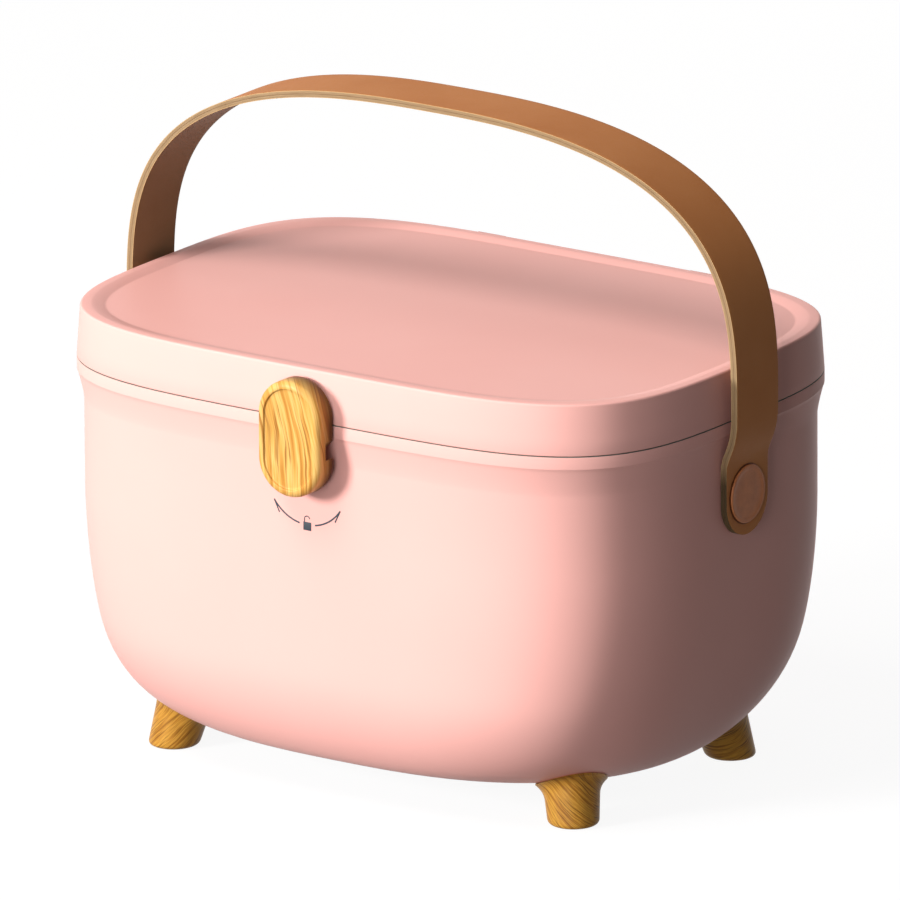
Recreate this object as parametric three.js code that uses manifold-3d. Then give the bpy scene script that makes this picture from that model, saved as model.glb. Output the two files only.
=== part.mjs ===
// Medication lock box: a bowed plastic tub and hinged lid on four splayed feet, with a
// lift-out tray, a turning front latch and a leather strap handle riveted to both ends.
// Millimetres, +Z up. +X runs along the box, -Y is the front. The origin is on the
// floor under the middle of the box.
import * as THREE from 'three';
import { mergeVertices } from 'three/addons/utils/BufferGeometryUtils.js';
import Module from 'manifold-3d';

const wasm = await Module();
wasm.setup();

// Plan of the box: a superellipse, measured at the rim of the lid
const BOX_LENGTH = 300;
const BOX_WIDTH = 215.6;
const LENGTH_POWER = 4.26;
const WIDTH_POWER = 3.64;

// Clearances
const FIT_GAP = 0.3;
const SEAM_GAP = 0.6;
const SLIDE_GAP = 0.6;
const HINGE_GAP = 0.5;
const CUT_OVERRUN = 2;

// Tub
const TUB_BOTTOM_HEIGHT = 15.9;
const TUB_DEPTH = 156.7;
const TUB_WALL = 2.8;
const TUB_FLOOR = 3;
const TUB_INSET = 1.3;
const END_CURVE_SHARE = 0.651;
const END_CURVE_REACH = 33;
const SIDE_CURVE_SHARE = 0.2745;
const SIDE_CURVE_REACH = 24;
const CURVE_POWER = 1.8;
const BOTTOM_LENGTH_POWER = 2.7;
const BOTTOM_WIDTH_POWER = 2.12;
const POWER_FADE = 5.4;
const LIP_HEIGHT = 6.1;
const LIP_REACH = 2.6;
const LIP_EDGE = 0.4;
const COVE_HEIGHT = 7.5;
const LEDGE_DEPTH = 7.4;

// Lid
const LID_HEIGHT = 22.1;
const LID_WALL = 2.6;
const LID_ROOF = 2.6;
const LID_FLARE = 1.3;
const LID_EDGE_ROUND = 1.5;
const RIM_WIDTH = 3;
const PANEL_RECESS = 1.2;
const PANEL_BEVEL = 5;
const ROOF_FILLET = 3;
const COLLAR_DEPTH = 4;
const COLLAR_WALL = 1.6;
const COLLAR_NOTCH_WIDTH = 22;

// Tray
const TRAY_DEPTH = 38;
const TRAY_WALL = 1.8;
const TRAY_FLOOR = 2;
const TRAY_FLANGE = 2;
const TRAY_SIDE_ROOM = 6.4;
const TRAY_DRAFT = 2.5;
const TRAY_FLOOR_ROUND = 4;
const TRAY_COLUMNS = 3;
const DIVIDER_THICKNESS = 1.8;
const DIVIDER_DROP = 3;

// Hinges
const HINGE_PLACE_SHARE = 0.367;
const KNUCKLE_RADIUS = 4.4;
const LID_KNUCKLE_LENGTH = 14;
const TUB_KNUCKLE_LENGTH = 9;
const HINGE_PIN_RADIUS = 1.6;
const PIN_HEAD_RADIUS = 2.4;
const PIN_HEAD_LENGTH = 1;
const HINGE_LEAF_THICKNESS = 2.4;
const HINGE_LEAF_DROP = 1.5;
const KNUCKLE_ROOT_SHARE = 0.8;

// Latch
const LATCH_WIDTH = 32;
const LATCH_LENGTH = 51;
const LATCH_THICKNESS = 10.5;
const LATCH_EDGE_ROUND = 2.6;
const LATCH_RIM = 3.4;
const LATCH_DISH = 1.4;
const LATCH_TOP_BELOW_RIM = 3;
const LATCH_PIVOT_BELOW_TOP = 13.3;
const LATCH_SHAFT_RADIUS = 3;
const LATCH_WASHER_RADIUS = 5.4;
const LATCH_WASHER_THICKNESS = 1;
const LATCH_SPRING_THICKNESS = 0.8;
const LATCH_SCREW_HEAD_RADIUS = 3.4;
const LATCH_SCREW_HEAD_HEIGHT = 1.8;
const LATCH_SCREW_RADIUS = 1.4;
const LATCH_SCREW_LENGTH = 8;
const CHANNEL_DEPTH = 5.4;
const CHANNEL_RADIUS = 22.8;
const CHANNEL_ROOM = 0.5;
const KEEPER_RADIUS = 2.3;
const KEEPER_FOOT_RADIUS = 5;
const KEEPER_FOOT_THICKNESS = 1.2;
const KEEPER_TIP_ROOM = 0.9;
const KEEPER_SCREW_RADIUS = 1.2;
const KEEPER_SCREW_HEAD_RADIUS = 3;
const KEEPER_SCREW_HEAD_HEIGHT = 1.5;
const KEEPER_SCREW_BITE = 5;

// Strap handle and its rivets
const STRAP_WIDTH = 31;
const STRAP_THICKNESS = 3.6;
const STRAP_END_BELOW_RIVET = 17.8;
const STRAP_ARCH_OVERHANG = 6.2;
const STRAP_ARCH_FOOT_ABOVE_SEAM = 3;
const STRAP_ARCH_RISE = 112;
const STRAP_SPAN_POWER = 2.63;
const STRAP_RISE_POWER = 3.13;
const STRAP_BEND_ABOVE_CAP = 0.4;
const STRAP_BOW_SHARES = [0.3, 0.6];
const RIVET_BELOW_SEAM = 33.8;
const RIVET_CAP_RADIUS = 12.6;
const RIVET_CAP_THICKNESS = 1.6;
const RIVET_CAP_ROUND = 0.6;
const RIVET_SHANK_RADIUS = 3;
const RIVET_BORE_RADIUS = 1.9;
const RIVET_WASHER_RADIUS = 8;
const RIVET_WASHER_THICKNESS = 1.2;
const RIVET_HEAD_RADIUS = 5;
const RIVET_HEAD_THICKNESS = 1.3;
const RIVET_POST_LENGTH = 7;

// Feet
const FOOT_FROM_END = 46.4;
const FOOT_FROM_SIDE = 48.4;
const FOOT_BOTTOM_RADIUS = 11.2;
const FOOT_TOP_RADIUS = 12.6;
const FOOT_EDGE_ROUND = 1.2;
const FOOT_SPLAY = 3.2;
const FOOT_FLANGE_RADIUS = 15.4;
const FOOT_FLANGE_THICKNESS = 1.9;
const FOOT_FLANGE_RISE = 25.5;
const FOOT_SCREW_RADIUS = 1.7;
const FOOT_SCREW_HEAD_RADIUS = 3.6;
const FOOT_SCREW_HEAD_HEIGHT = 2;
const FOOT_SCREW_SEAT = 5;
const FOOT_SCREW_BITE = 8;
const FOOT_BOSS_RADIUS = 5;
const FOOT_BOSS_ROOF = 2;

// Fineness of the faceted surfaces
const PLAN_STEPS = 48;
const OUTER_CURVE_STEPS = 8;
const INNER_CURVE_STEPS = 5;
const CURVE_STEP_POWER = 2.2;
const ROUND_STEPS = 20;
const SMALL_ROUND_STEPS = 12;
const EDGE_STEPS = 2;
const STRAP_BEND_STEPS = 5;
const STRAP_CROWN_STEPS = 22;
const CHANNEL_STEPS = 16;

// The middle of a quarter round lies this share of its radius in from each face
const ROUND_SHARE = 1 - Math.SQRT1_2;

// Heights and half sizes that follow from the above
const TUB_TOP = TUB_BOTTOM_HEIGHT + TUB_DEPTH;
const LID_BOTTOM = TUB_TOP + SEAM_GAP;
const LID_TOP = LID_BOTTOM + LID_HEIGHT;
const END_CURVE_HEIGHT = TUB_DEPTH * END_CURVE_SHARE;
const SIDE_CURVE_HEIGHT = TUB_DEPTH * SIDE_CURVE_SHARE;
const TUB_HALF_LENGTH = BOX_LENGTH / 2 - TUB_INSET;
const TUB_HALF_WIDTH = BOX_WIDTH / 2 - TUB_INSET;
const SEAM_HALF_WIDTH = TUB_HALF_WIDTH + LIP_REACH;
const LEDGE_HEIGHT = TUB_TOP - LEDGE_DEPTH;
const HINGE_Y = SEAM_HALF_WIDTH + HINGE_GAP + KNUCKLE_RADIUS;
const HINGE_Z = TUB_TOP + SEAM_GAP / 2;

// Materials
function plastic(color, roughness = 0.5) {
  return new THREE.MeshStandardMaterial({ color, roughness, metalness: 0 });
}
function metal(color, roughness = 0.35) {
  return new THREE.MeshStandardMaterial({ color, roughness, metalness: 1 });
}
const PINK = '#f4c3ba';
const TRAY_PINK = '#f7dcd6';
const WOOD = '#dba455';
const LEATHER = '#a8764c';
const CAP_BROWN = '#9a6e50';
const STEEL = '#b9bcc0';

// Solids
function toSolid(geometry) {
  const bare = geometry.clone();
  bare.deleteAttribute('normal');
  bare.deleteAttribute('uv');
  const merged = mergeVertices(bare);
  return new wasm.Manifold(new wasm.Mesh({
    numProp: 3,
    vertProperties: new Float32Array(merged.attributes.position.array),
    triVerts: new Uint32Array(merged.index.array),
  }));
}

function toGeometry(solid) {
  const mesh = solid.getMesh();
  const geometry = new THREE.BufferGeometry();
  geometry.setAttribute('position', new THREE.BufferAttribute(mesh.vertProperties, 3));
  geometry.setIndex(new THREE.BufferAttribute(mesh.triVerts, 1));
  geometry.computeVertexNormals();
  return geometry;
}

function block(xs, ys, zs) {
  const box = new THREE.BoxGeometry(xs[1] - xs[0], ys[1] - ys[0], zs[1] - zs[0]);
  box.translate((xs[0] + xs[1]) / 2, (ys[0] + ys[1]) / 2, (zs[0] + zs[1]) / 2);
  return toSolid(box);
}

// A round bar from one point to another along the named axis
function bar(axis, radius, from, to, steps = SMALL_ROUND_STEPS) {
  const start = new THREE.Vector3(...from);
  const length = to - start[axis];
  const cylinder = new THREE.CylinderGeometry(radius, radius, Math.abs(length), steps);
  if (axis === 'x') cylinder.rotateZ(-Math.PI / 2);
  if (axis === 'z') cylinder.rotateX(Math.PI / 2);
  start[axis] += length / 2;
  cylinder.translate(start.x, start.y, start.z);
  return toSolid(cylinder);
}

// A turned piece: profile points are [radius, height], first and last on the axis
function turned(profile, steps = SMALL_ROUND_STEPS) {
  return new THREE.LatheGeometry(profile.map(([r, h]) => new THREE.Vector2(r, h)), steps);
}

// One ring of a stacked body: a superellipse at a height, with its own half sizes
function ring(z, halfLength, halfWidth, options = {}) {
  const { lengthPower = LENGTH_POWER, widthPower = WIDTH_POWER, cx = 0, cy = 0 } = options;
  return { z, halfLength, halfWidth, lengthPower, widthPower, cx, cy };
}

function ringPoint(section, angle) {
  const c = Math.cos(angle);
  const s = Math.sin(angle);
  const x = Math.sign(c) * Math.abs(c) ** (2 / section.lengthPower) * section.halfLength;
  const y = Math.sign(s) * Math.abs(s) ** (2 / section.widthPower) * section.halfWidth;
  return [section.cx + x, section.cy + y, section.z];
}

// Joins rings into one closed body, capped over the first and the last ring
function stack(rings, steps = PLAN_STEPS) {
  const positions = [];
  const index = [];
  for (const section of rings) {
    for (let i = 0; i < steps; i += 1) {
      positions.push(...ringPoint(section, (2 * Math.PI * i) / steps));
    }
  }
  const last = rings.length - 1;
  for (let r = 0; r < last; r += 1) {
    for (let i = 0; i < steps; i += 1) {
      const next = (i + 1) % steps;
      const a = r * steps + i;
      const b = r * steps + next;
      index.push(a, b, b + steps, a, b + steps, a + steps);
    }
  }
  for (const [r, turn] of [[0, -1], [last, 1]]) {
    const centre = positions.length / 3;
    positions.push(rings[r].cx, rings[r].cy, rings[r].z);
    for (let i = 0; i < steps; i += 1) {
      const a = r * steps + i;
      const b = r * steps + ((i + 1) % steps);
      index.push(centre, turn > 0 ? a : b, turn > 0 ? b : a);
    }
  }
  const geometry = new THREE.BufferGeometry();
  geometry.setAttribute('position', new THREE.Float32BufferAttribute(positions, 3));
  geometry.setIndex(index);
  return toSolid(geometry);
}

// Tub: how far the wall has drawn in at a height above the bottom
function drawIn(height, curveHeight, curveReach) {
  const q = THREE.MathUtils.clamp(1 - height / curveHeight, 0, 1);
  return curveReach * (1 - (1 - q ** CURVE_POWER) ** (1 / CURVE_POWER));
}

// The rings of the tub's curved part and straight wall, grown outward by `growth`
function tubRings(growth, bottom, top, steps = OUTER_CURVE_STEPS) {
  const endHeight = END_CURVE_HEIGHT + growth;
  const sideHeight = SIDE_CURVE_HEIGHT + growth;
  const halfLength = TUB_HALF_LENGTH + growth;
  const halfWidth = TUB_HALF_WIDTH + growth;
  const rings = [];
  for (let i = 0; i <= steps; i += 1) {
    const height = endHeight * (i / steps) ** CURVE_STEP_POWER;
    const fade = (1 - height / endHeight) ** POWER_FADE;
    rings.push(ring(
      bottom + height,
      halfLength - drawIn(height, endHeight, END_CURVE_REACH + growth),
      halfWidth - drawIn(height, sideHeight, SIDE_CURVE_REACH + growth),
      {
        lengthPower: THREE.MathUtils.lerp(LENGTH_POWER, BOTTOM_LENGTH_POWER, fade),
        widthPower: THREE.MathUtils.lerp(WIDTH_POWER, BOTTOM_WIDTH_POWER, fade),
      },
    ));
  }
  rings.push(ring(top, halfLength, halfWidth));
  return rings;
}

function tubOutside(growth) {
  return stack(tubRings(growth, TUB_BOTTOM_HEIGHT - growth, TUB_TOP - LIP_HEIGHT));
}

// The lip's flare over the cove, from the wall out to the lip's full reach
const COVE_SHARES = [[0, 0], [0.45, 0.12], [0.8, 0.5], [1, 0.92]];

function tubShell() {
  const lipBottom = TUB_TOP - LIP_HEIGHT;
  const coveBottom = lipBottom - COVE_HEIGHT;
  const outside = tubRings(0, TUB_BOTTOM_HEIGHT, coveBottom);
  for (const [up, out] of COVE_SHARES.slice(1)) {
    const reach = LIP_REACH * out;
    outside.push(ring(coveBottom + COVE_HEIGHT * up, TUB_HALF_LENGTH + reach, TUB_HALF_WIDTH + reach));
  }
  const lipLength = TUB_HALF_LENGTH + LIP_REACH;
  const lipWidth = TUB_HALF_WIDTH + LIP_REACH;
  outside.push(ring(lipBottom + LIP_EDGE, lipLength, lipWidth));
  outside.push(ring(TUB_TOP - LIP_EDGE, lipLength, lipWidth));
  outside.push(ring(TUB_TOP, lipLength - LIP_EDGE, lipWidth - LIP_EDGE));
  const mouthLength = lipLength - TUB_WALL;
  const mouthWidth = lipWidth - TUB_WALL;
  const floor = TUB_BOTTOM_HEIGHT + TUB_FLOOR;
  const inside = tubRings(-TUB_WALL, floor, LEDGE_HEIGHT, INNER_CURVE_STEPS).reverse();
  return stack([
    ...outside,
    ring(TUB_TOP, mouthLength, mouthWidth),
    ring(LEDGE_HEIGHT, mouthLength, mouthWidth),
    ...inside,
  ]);
}

// Hinges: one station left and one right, each with a lid knuckle between two tub knuckles
const HINGE_X = (BOX_LENGTH / 2) * HINGE_PLACE_SHARE;
const hingeStations = [-HINGE_X, HINGE_X];
const LID_KNUCKLE_HALF = LID_KNUCKLE_LENGTH / 2;
const HINGE_HALF = LID_KNUCKLE_HALF + HINGE_GAP + TUB_KNUCKLE_LENGTH;
const TUB_KNUCKLE_ROOT = SEAM_HALF_WIDTH - TUB_WALL * KNUCKLE_ROOT_SHARE;
const LID_KNUCKLE_ROOT = BOX_WIDTH / 2 - LID_WALL * KNUCKLE_ROOT_SHARE;

function tubKnuckles(station) {
  const pieces = [-1, 1].map((side) => {
    const inner = station + side * (LID_KNUCKLE_HALF + HINGE_GAP);
    const outer = station + side * HINGE_HALF;
    const xs = [Math.min(inner, outer), Math.max(inner, outer)];
    const roll = bar('x', KNUCKLE_RADIUS, [xs[0], HINGE_Y, HINGE_Z], xs[1], ROUND_STEPS);
    const web = block(xs, [TUB_KNUCKLE_ROOT, HINGE_Y], [HINGE_Z - KNUCKLE_RADIUS, TUB_TOP]);
    return roll.add(web);
  });
  return pieces[0].add(pieces[1]);
}

function hingeBore(station) {
  const reach = HINGE_HALF + CUT_OVERRUN;
  const radius = HINGE_PIN_RADIUS + FIT_GAP;
  return bar('x', radius, [station - reach, HINGE_Y, HINGE_Z], station + reach);
}

function lidKnuckle(station) {
  const xs = [station - LID_KNUCKLE_HALF, station + LID_KNUCKLE_HALF];
  const roll = bar('x', KNUCKLE_RADIUS, [xs[0], HINGE_Y, HINGE_Z], xs[1], ROUND_STEPS);
  const web = block(xs, [LID_KNUCKLE_ROOT, HINGE_Y], [LID_BOTTOM, HINGE_Z + KNUCKLE_RADIUS]);
  const leafBack = SEAM_HALF_WIDTH + HINGE_LEAF_THICKNESS;
  const leaf = block(xs, [LID_KNUCKLE_ROOT, leafBack], [LID_BOTTOM, LID_TOP - HINGE_LEAF_DROP]);
  return roll.add(web).add(leaf);
}

function hingePin() {
  const length = 2 * HINGE_HALF;
  return turned([
    [0, -PIN_HEAD_LENGTH],
    [PIN_HEAD_RADIUS, -PIN_HEAD_LENGTH],
    [PIN_HEAD_RADIUS, 0],
    [HINGE_PIN_RADIUS, 0],
    [HINGE_PIN_RADIUS, length + PIN_HEAD_LENGTH],
    [0, length + PIN_HEAD_LENGTH],
  ]);
}

// Feet: each has a splayed body, a flange that follows the tub, and a screw from below
const footCorners = [
  ['front_left', -1, -1],
  ['front_right', 1, -1],
  ['rear_left', -1, 1],
  ['rear_right', 1, 1],
];
const FOOT_SCREW_TOP = TUB_BOTTOM_HEIGHT + FOOT_SCREW_BITE;
const FOOT_FLANGE_TOP = TUB_BOTTOM_HEIGHT + FOOT_FLANGE_RISE;
const FOOT_X = BOX_LENGTH / 2 - FOOT_FROM_END;
const FOOT_Y = BOX_WIDTH / 2 - FOOT_FROM_SIDE;

function footScrewPlace(sx, sy) {
  return [sx * (FOOT_X - FOOT_SPLAY / 2), sy * (FOOT_Y - FOOT_SPLAY / 2)];
}

function footBoss(sx, sy) {
  const [x, y] = footScrewPlace(sx, sy);
  const top = FOOT_SCREW_TOP + FIT_GAP + FOOT_BOSS_ROOF;
  return bar('z', FOOT_BOSS_RADIUS, [x, y, TUB_BOTTOM_HEIGHT], top).intersect(tubOutside(0));
}

function footBossBore(sx, sy) {
  const [x, y] = footScrewPlace(sx, sy);
  const top = FOOT_SCREW_TOP + FIT_GAP;
  return bar('z', FOOT_SCREW_RADIUS + FIT_GAP, [x, y, 0], top);
}

function roundRing(z, radius, cx, cy) {
  return ring(z, radius, radius, { lengthPower: 2, widthPower: 2, cx, cy });
}

function foot(sx, sy) {
  const top = FOOT_FLANGE_TOP;
  const lean = (height) => FOOT_SPLAY * (height / TUB_BOTTOM_HEIGHT);
  const grow = (height) => THREE.MathUtils.mapLinear(
    height, 0, TUB_BOTTOM_HEIGHT, FOOT_BOTTOM_RADIUS, FOOT_TOP_RADIUS);
  const at = (height, radius) => roundRing(
    height,
    radius,
    sx * (FOOT_X - lean(height)),
    sy * (FOOT_Y - lean(height)),
  );
  const round = FOOT_EDGE_ROUND;
  const middle = round * ROUND_SHARE;
  const body = stack([
    at(0, grow(0) - round),
    at(middle, grow(0) - middle),
    at(round, grow(round)),
    at(TUB_BOTTOM_HEIGHT, grow(TUB_BOTTOM_HEIGHT)),
    at(top, grow(top)),
  ], ROUND_STEPS);
  const collarBottom = TUB_BOTTOM_HEIGHT - FOOT_FLANGE_THICKNESS - FIT_GAP;
  const flange = stack([
    at(collarBottom / 2, FOOT_FLANGE_RADIUS),
    at(top, FOOT_FLANGE_RADIUS),
  ], ROUND_STEPS).intersect(tubOutside(FIT_GAP + FOOT_FLANGE_THICKNESS));
  const [x, y] = footScrewPlace(sx, sy);
  const bore = bar('z', FOOT_SCREW_RADIUS + FIT_GAP, [x, y, 0], top);
  const headRadius = FOOT_SCREW_HEAD_RADIUS + FIT_GAP;
  const headRoom = bar('z', headRadius, [x, y, -CUT_OVERRUN], FOOT_SCREW_SEAT);
  return body.add(flange).subtract(tubOutside(FIT_GAP)).subtract(bore).subtract(headRoom);
}

function footScrew() {
  const headTop = FOOT_SCREW_SEAT - FIT_GAP;
  return turned([
    [0, headTop - FOOT_SCREW_HEAD_HEIGHT],
    [FOOT_SCREW_HEAD_RADIUS, headTop - FOOT_SCREW_HEAD_HEIGHT],
    [FOOT_SCREW_HEAD_RADIUS, headTop],
    [FOOT_SCREW_RADIUS, headTop],
    [FOOT_SCREW_RADIUS, FOOT_SCREW_TOP],
    [0, FOOT_SCREW_TOP],
  ]);
}

// Rivets that carry the strap, one on each end of the tub
const RIVET_HEIGHT = TUB_TOP - RIVET_BELOW_SEAM;
const STRAP_INNER_X = TUB_HALF_LENGTH + FIT_GAP;
const STRAP_LEG_X = STRAP_INNER_X + STRAP_THICKNESS / 2;
const TUB_INNER_X = TUB_HALF_LENGTH - TUB_WALL;

function rivetBore(side) {
  const inner = TUB_INNER_X - CUT_OVERRUN;
  const outer = STRAP_INNER_X + STRAP_THICKNESS + CUT_OVERRUN;
  const from = side > 0 ? inner : -outer;
  const to = side > 0 ? outer : -inner;
  return bar('x', RIVET_SHANK_RADIUS + FIT_GAP, [from, 0, RIVET_HEIGHT], to);
}

// Turned pieces of the rivet: the profile's height runs outward from the tub's inner wall
const CAP_SEAT = STRAP_INNER_X + STRAP_THICKNESS + FIT_GAP - TUB_INNER_X;

function rivetCap() {
  const rim = CAP_SEAT + RIVET_CAP_THICKNESS;
  const middle = RIVET_CAP_ROUND * ROUND_SHARE;
  return turned([
    [0, RIVET_POST_LENGTH + FIT_GAP],
    [RIVET_BORE_RADIUS, RIVET_POST_LENGTH + FIT_GAP],
    [RIVET_BORE_RADIUS, 0],
    [RIVET_SHANK_RADIUS, 0],
    [RIVET_SHANK_RADIUS, CAP_SEAT],
    [RIVET_CAP_RADIUS, CAP_SEAT],
    [RIVET_CAP_RADIUS, rim - RIVET_CAP_ROUND],
    [RIVET_CAP_RADIUS - middle, rim - middle],
    [RIVET_CAP_RADIUS - RIVET_CAP_ROUND, rim],
    [0, rim],
  ], ROUND_STEPS);
}

function rivetWasher() {
  const bore = RIVET_SHANK_RADIUS + FIT_GAP;
  return turned([
    [bore, -FIT_GAP - RIVET_WASHER_THICKNESS],
    [RIVET_WASHER_RADIUS, -FIT_GAP - RIVET_WASHER_THICKNESS],
    [RIVET_WASHER_RADIUS, -FIT_GAP],
    [bore, -FIT_GAP],
    [bore, -FIT_GAP - RIVET_WASHER_THICKNESS],
  ], ROUND_STEPS);
}

function rivetPost() {
  const seat = -2 * FIT_GAP - RIVET_WASHER_THICKNESS;
  const pin = RIVET_BORE_RADIUS - FIT_GAP;
  return turned([
    [0, seat - RIVET_HEAD_THICKNESS],
    [RIVET_HEAD_RADIUS, seat - RIVET_HEAD_THICKNESS],
    [RIVET_HEAD_RADIUS, seat],
    [pin, seat],
    [pin, RIVET_POST_LENGTH],
    [0, RIVET_POST_LENGTH],
  ]);
}

const STRAP_ARCH_HALF_SPAN = BOX_LENGTH / 2 + STRAP_ARCH_OVERHANG;
const STRAP_ARCH_FOOT = TUB_TOP + STRAP_ARCH_FOOT_ABOVE_SEAM;

// The strap's middle line on its right half, in the XZ plane, from its end to the crown
class StrapCrown extends THREE.Curve {
  getPoint(t, target = new THREE.Vector2()) {
    const angle = (t * Math.PI) / 2;
    const x = STRAP_ARCH_HALF_SPAN * Math.cos(angle) ** (2 / STRAP_SPAN_POWER);
    const z = STRAP_ARCH_RISE * Math.sin(angle) ** (2 / STRAP_RISE_POWER);
    return target.set(Math.abs(x), STRAP_ARCH_FOOT + z);
  }
}

function strapPath() {
  const end = new THREE.Vector2(STRAP_LEG_X, RIVET_HEIGHT - STRAP_END_BELOW_RIVET);
  const bend = new THREE.Vector2(STRAP_LEG_X, RIVET_HEIGHT + RIVET_CAP_RADIUS + STRAP_BEND_ABOVE_CAP);
  const foot = new THREE.Vector2(STRAP_ARCH_HALF_SPAN, STRAP_ARCH_FOOT);
  const [lowerPull, upperPull] = STRAP_BOW_SHARES.map((share) => share * (foot.y - bend.y));
  const bow = new THREE.CubicBezierCurve(
    bend,
    new THREE.Vector2(bend.x, bend.y + lowerPull),
    new THREE.Vector2(foot.x, foot.y - upperPull),
    foot,
  );
  return [
    [new THREE.LineCurve(end, bend), 1],
    [bow, STRAP_BEND_STEPS],
    [new StrapCrown(), STRAP_CROWN_STEPS],
  ];
}

function strap() {
  const stations = strapPath().flatMap(([curve, steps]) => Array.from({ length: steps }, (_, i) => (
    [curve.getPointAt(i / steps), curve.getTangentAt(i / steps)]
  )));
  stations.push([new StrapCrown().getPoint(1), new THREE.Vector2(-1, 0)]);
  const side = (across) => stations.map(([point, along]) => (
    new THREE.Vector2(point.x + along.y * across, point.y - along.x * across)
  ));
  const mirrored = (points) => points.slice(0, -1).map((p) => new THREE.Vector2(-p.x, p.y)).reverse();
  const outer = side(STRAP_THICKNESS / 2);
  const inner = side(-STRAP_THICKNESS / 2);
  const outline = [...outer, ...mirrored(outer), ...[...inner, ...mirrored(inner)].reverse()];
  const band = new THREE.ExtrudeGeometry(new THREE.Shape(outline), {
    depth: STRAP_WIDTH, bevelEnabled: false,
  });
  band.rotateX(Math.PI / 2);
  band.translate(0, STRAP_WIDTH / 2, 0);

  const radius = STRAP_WIDTH / 2;
  const ends = new THREE.Shape();
  const above = STRAP_ARCH_FOOT + STRAP_ARCH_RISE + STRAP_THICKNESS;
  ends.moveTo(radius, above);
  ends.lineTo(-radius, above);
  const endMiddle = RIVET_HEIGHT - STRAP_END_BELOW_RIVET + radius;
  ends.lineTo(-radius, endMiddle);
  ends.absarc(0, endMiddle, radius, Math.PI, 2 * Math.PI, false);
  const across = STRAP_ARCH_HALF_SPAN + STRAP_THICKNESS;
  const mask = new THREE.ExtrudeGeometry(ends, {
    depth: 2 * across, bevelEnabled: false, curveSegments: SMALL_ROUND_STEPS,
  });
  mask.rotateX(Math.PI / 2);
  mask.rotateZ(Math.PI / 2);
  mask.translate(-across, 0, 0);
  return toSolid(band).intersect(toSolid(mask)).subtract(rivetBore(1)).subtract(rivetBore(-1));
}

// Latch: stadium knob on the lid, turning on a shaft, with an arc channel for the keeper
const LATCH_TOP = LID_TOP - LATCH_TOP_BELOW_RIM;
const LATCH_PIVOT_Z = LATCH_TOP - LATCH_PIVOT_BELOW_TOP;
const LATCH_BACK_Y = -(SEAM_HALF_WIDTH + FIT_GAP + LATCH_SPRING_THICKNESS);
const LATCH_FRONT_Y = LATCH_BACK_Y - LATCH_THICKNESS;
const LID_FRONT_INNER_Y = -(BOX_WIDTH / 2 - LID_WALL);
const CHANNEL_HALF_WIDTH = KEEPER_RADIUS + CHANNEL_ROOM;
const KEEPER_Z = LATCH_PIVOT_Z - CHANNEL_RADIUS;

// Stadium outlines around the pivot, in the plane of the lid's front
function stadium(inset) {
  const radius = LATCH_WIDTH / 2 - inset;
  const top = LATCH_PIVOT_BELOW_TOP - LATCH_WIDTH / 2;
  const bottom = top - (LATCH_LENGTH - LATCH_WIDTH);
  const shape = new THREE.Shape();
  shape.moveTo(radius, bottom);
  shape.lineTo(radius, top);
  shape.absarc(0, top, radius, 0, Math.PI, false);
  shape.lineTo(-radius, bottom);
  shape.absarc(0, bottom, radius, Math.PI, 2 * Math.PI, false);
  return shape;
}

// Extrudes an outline from a back face towards the front, in the latch's own place
function towardsFront(shape, backY, depth) {
  const geometry = new THREE.ExtrudeGeometry(shape, {
    depth, bevelEnabled: false, curveSegments: SMALL_ROUND_STEPS,
  });
  geometry.rotateX(Math.PI / 2);
  geometry.translate(0, backY, 0);
  return toSolid(geometry);
}

function channel() {
  const shape = new THREE.Shape();
  const start = Math.PI;
  const end = 2 * Math.PI;
  shape.absarc(0, 0, CHANNEL_RADIUS + CHANNEL_HALF_WIDTH, start, end, false);
  shape.absarc(0, 0, CHANNEL_RADIUS - CHANNEL_HALF_WIDTH, end, start, true);
  const geometry = new THREE.ExtrudeGeometry(shape, {
    depth: CHANNEL_DEPTH + CUT_OVERRUN, bevelEnabled: false, curveSegments: CHANNEL_STEPS,
  });
  geometry.rotateX(Math.PI / 2);
  geometry.translate(0, LATCH_BACK_Y + CUT_OVERRUN, 0);
  return toSolid(geometry);
}

function latchKnob() {
  const frontDepth = LATCH_THICKNESS - LATCH_EDGE_ROUND;
  let knob = towardsFront(stadium(0), LATCH_BACK_Y, frontDepth);
  for (let i = 1; i <= EDGE_STEPS; i += 1) {
    const angle = (i / EDGE_STEPS) * (Math.PI / 2);
    const inset = LATCH_EDGE_ROUND * (1 - Math.cos(angle));
    const depth = frontDepth + LATCH_EDGE_ROUND * Math.sin(angle);
    knob = knob.add(towardsFront(stadium(inset), LATCH_BACK_Y, depth));
  }
  const dishBack = LATCH_FRONT_Y + LATCH_DISH;
  const dish = towardsFront(stadium(LATCH_RIM), dishBack, LATCH_DISH + CUT_OVERRUN);
  const shaftEnd = LID_FRONT_INNER_Y + FIT_GAP;
  const shaft = bar('y', LATCH_SHAFT_RADIUS, [0, LATCH_BACK_Y - CUT_OVERRUN, 0], shaftEnd, ROUND_STEPS);
  const screwTip = shaftEnd - LATCH_SCREW_LENGTH - FIT_GAP;
  const bore = bar('y', LATCH_SCREW_RADIUS + FIT_GAP, [0, screwTip, 0], shaftEnd + CUT_OVERRUN);
  return knob.subtract(dish).subtract(channel()).add(shaft).subtract(bore);
}

// Flat ring around the latch's shaft: its height runs along the shaft into the box
function shaftRing(outerRadius, thickness, bore) {
  return turned([
    [bore, 0], [outerRadius, 0], [outerRadius, thickness], [bore, thickness], [bore, 0],
  ], ROUND_STEPS);
}

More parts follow.
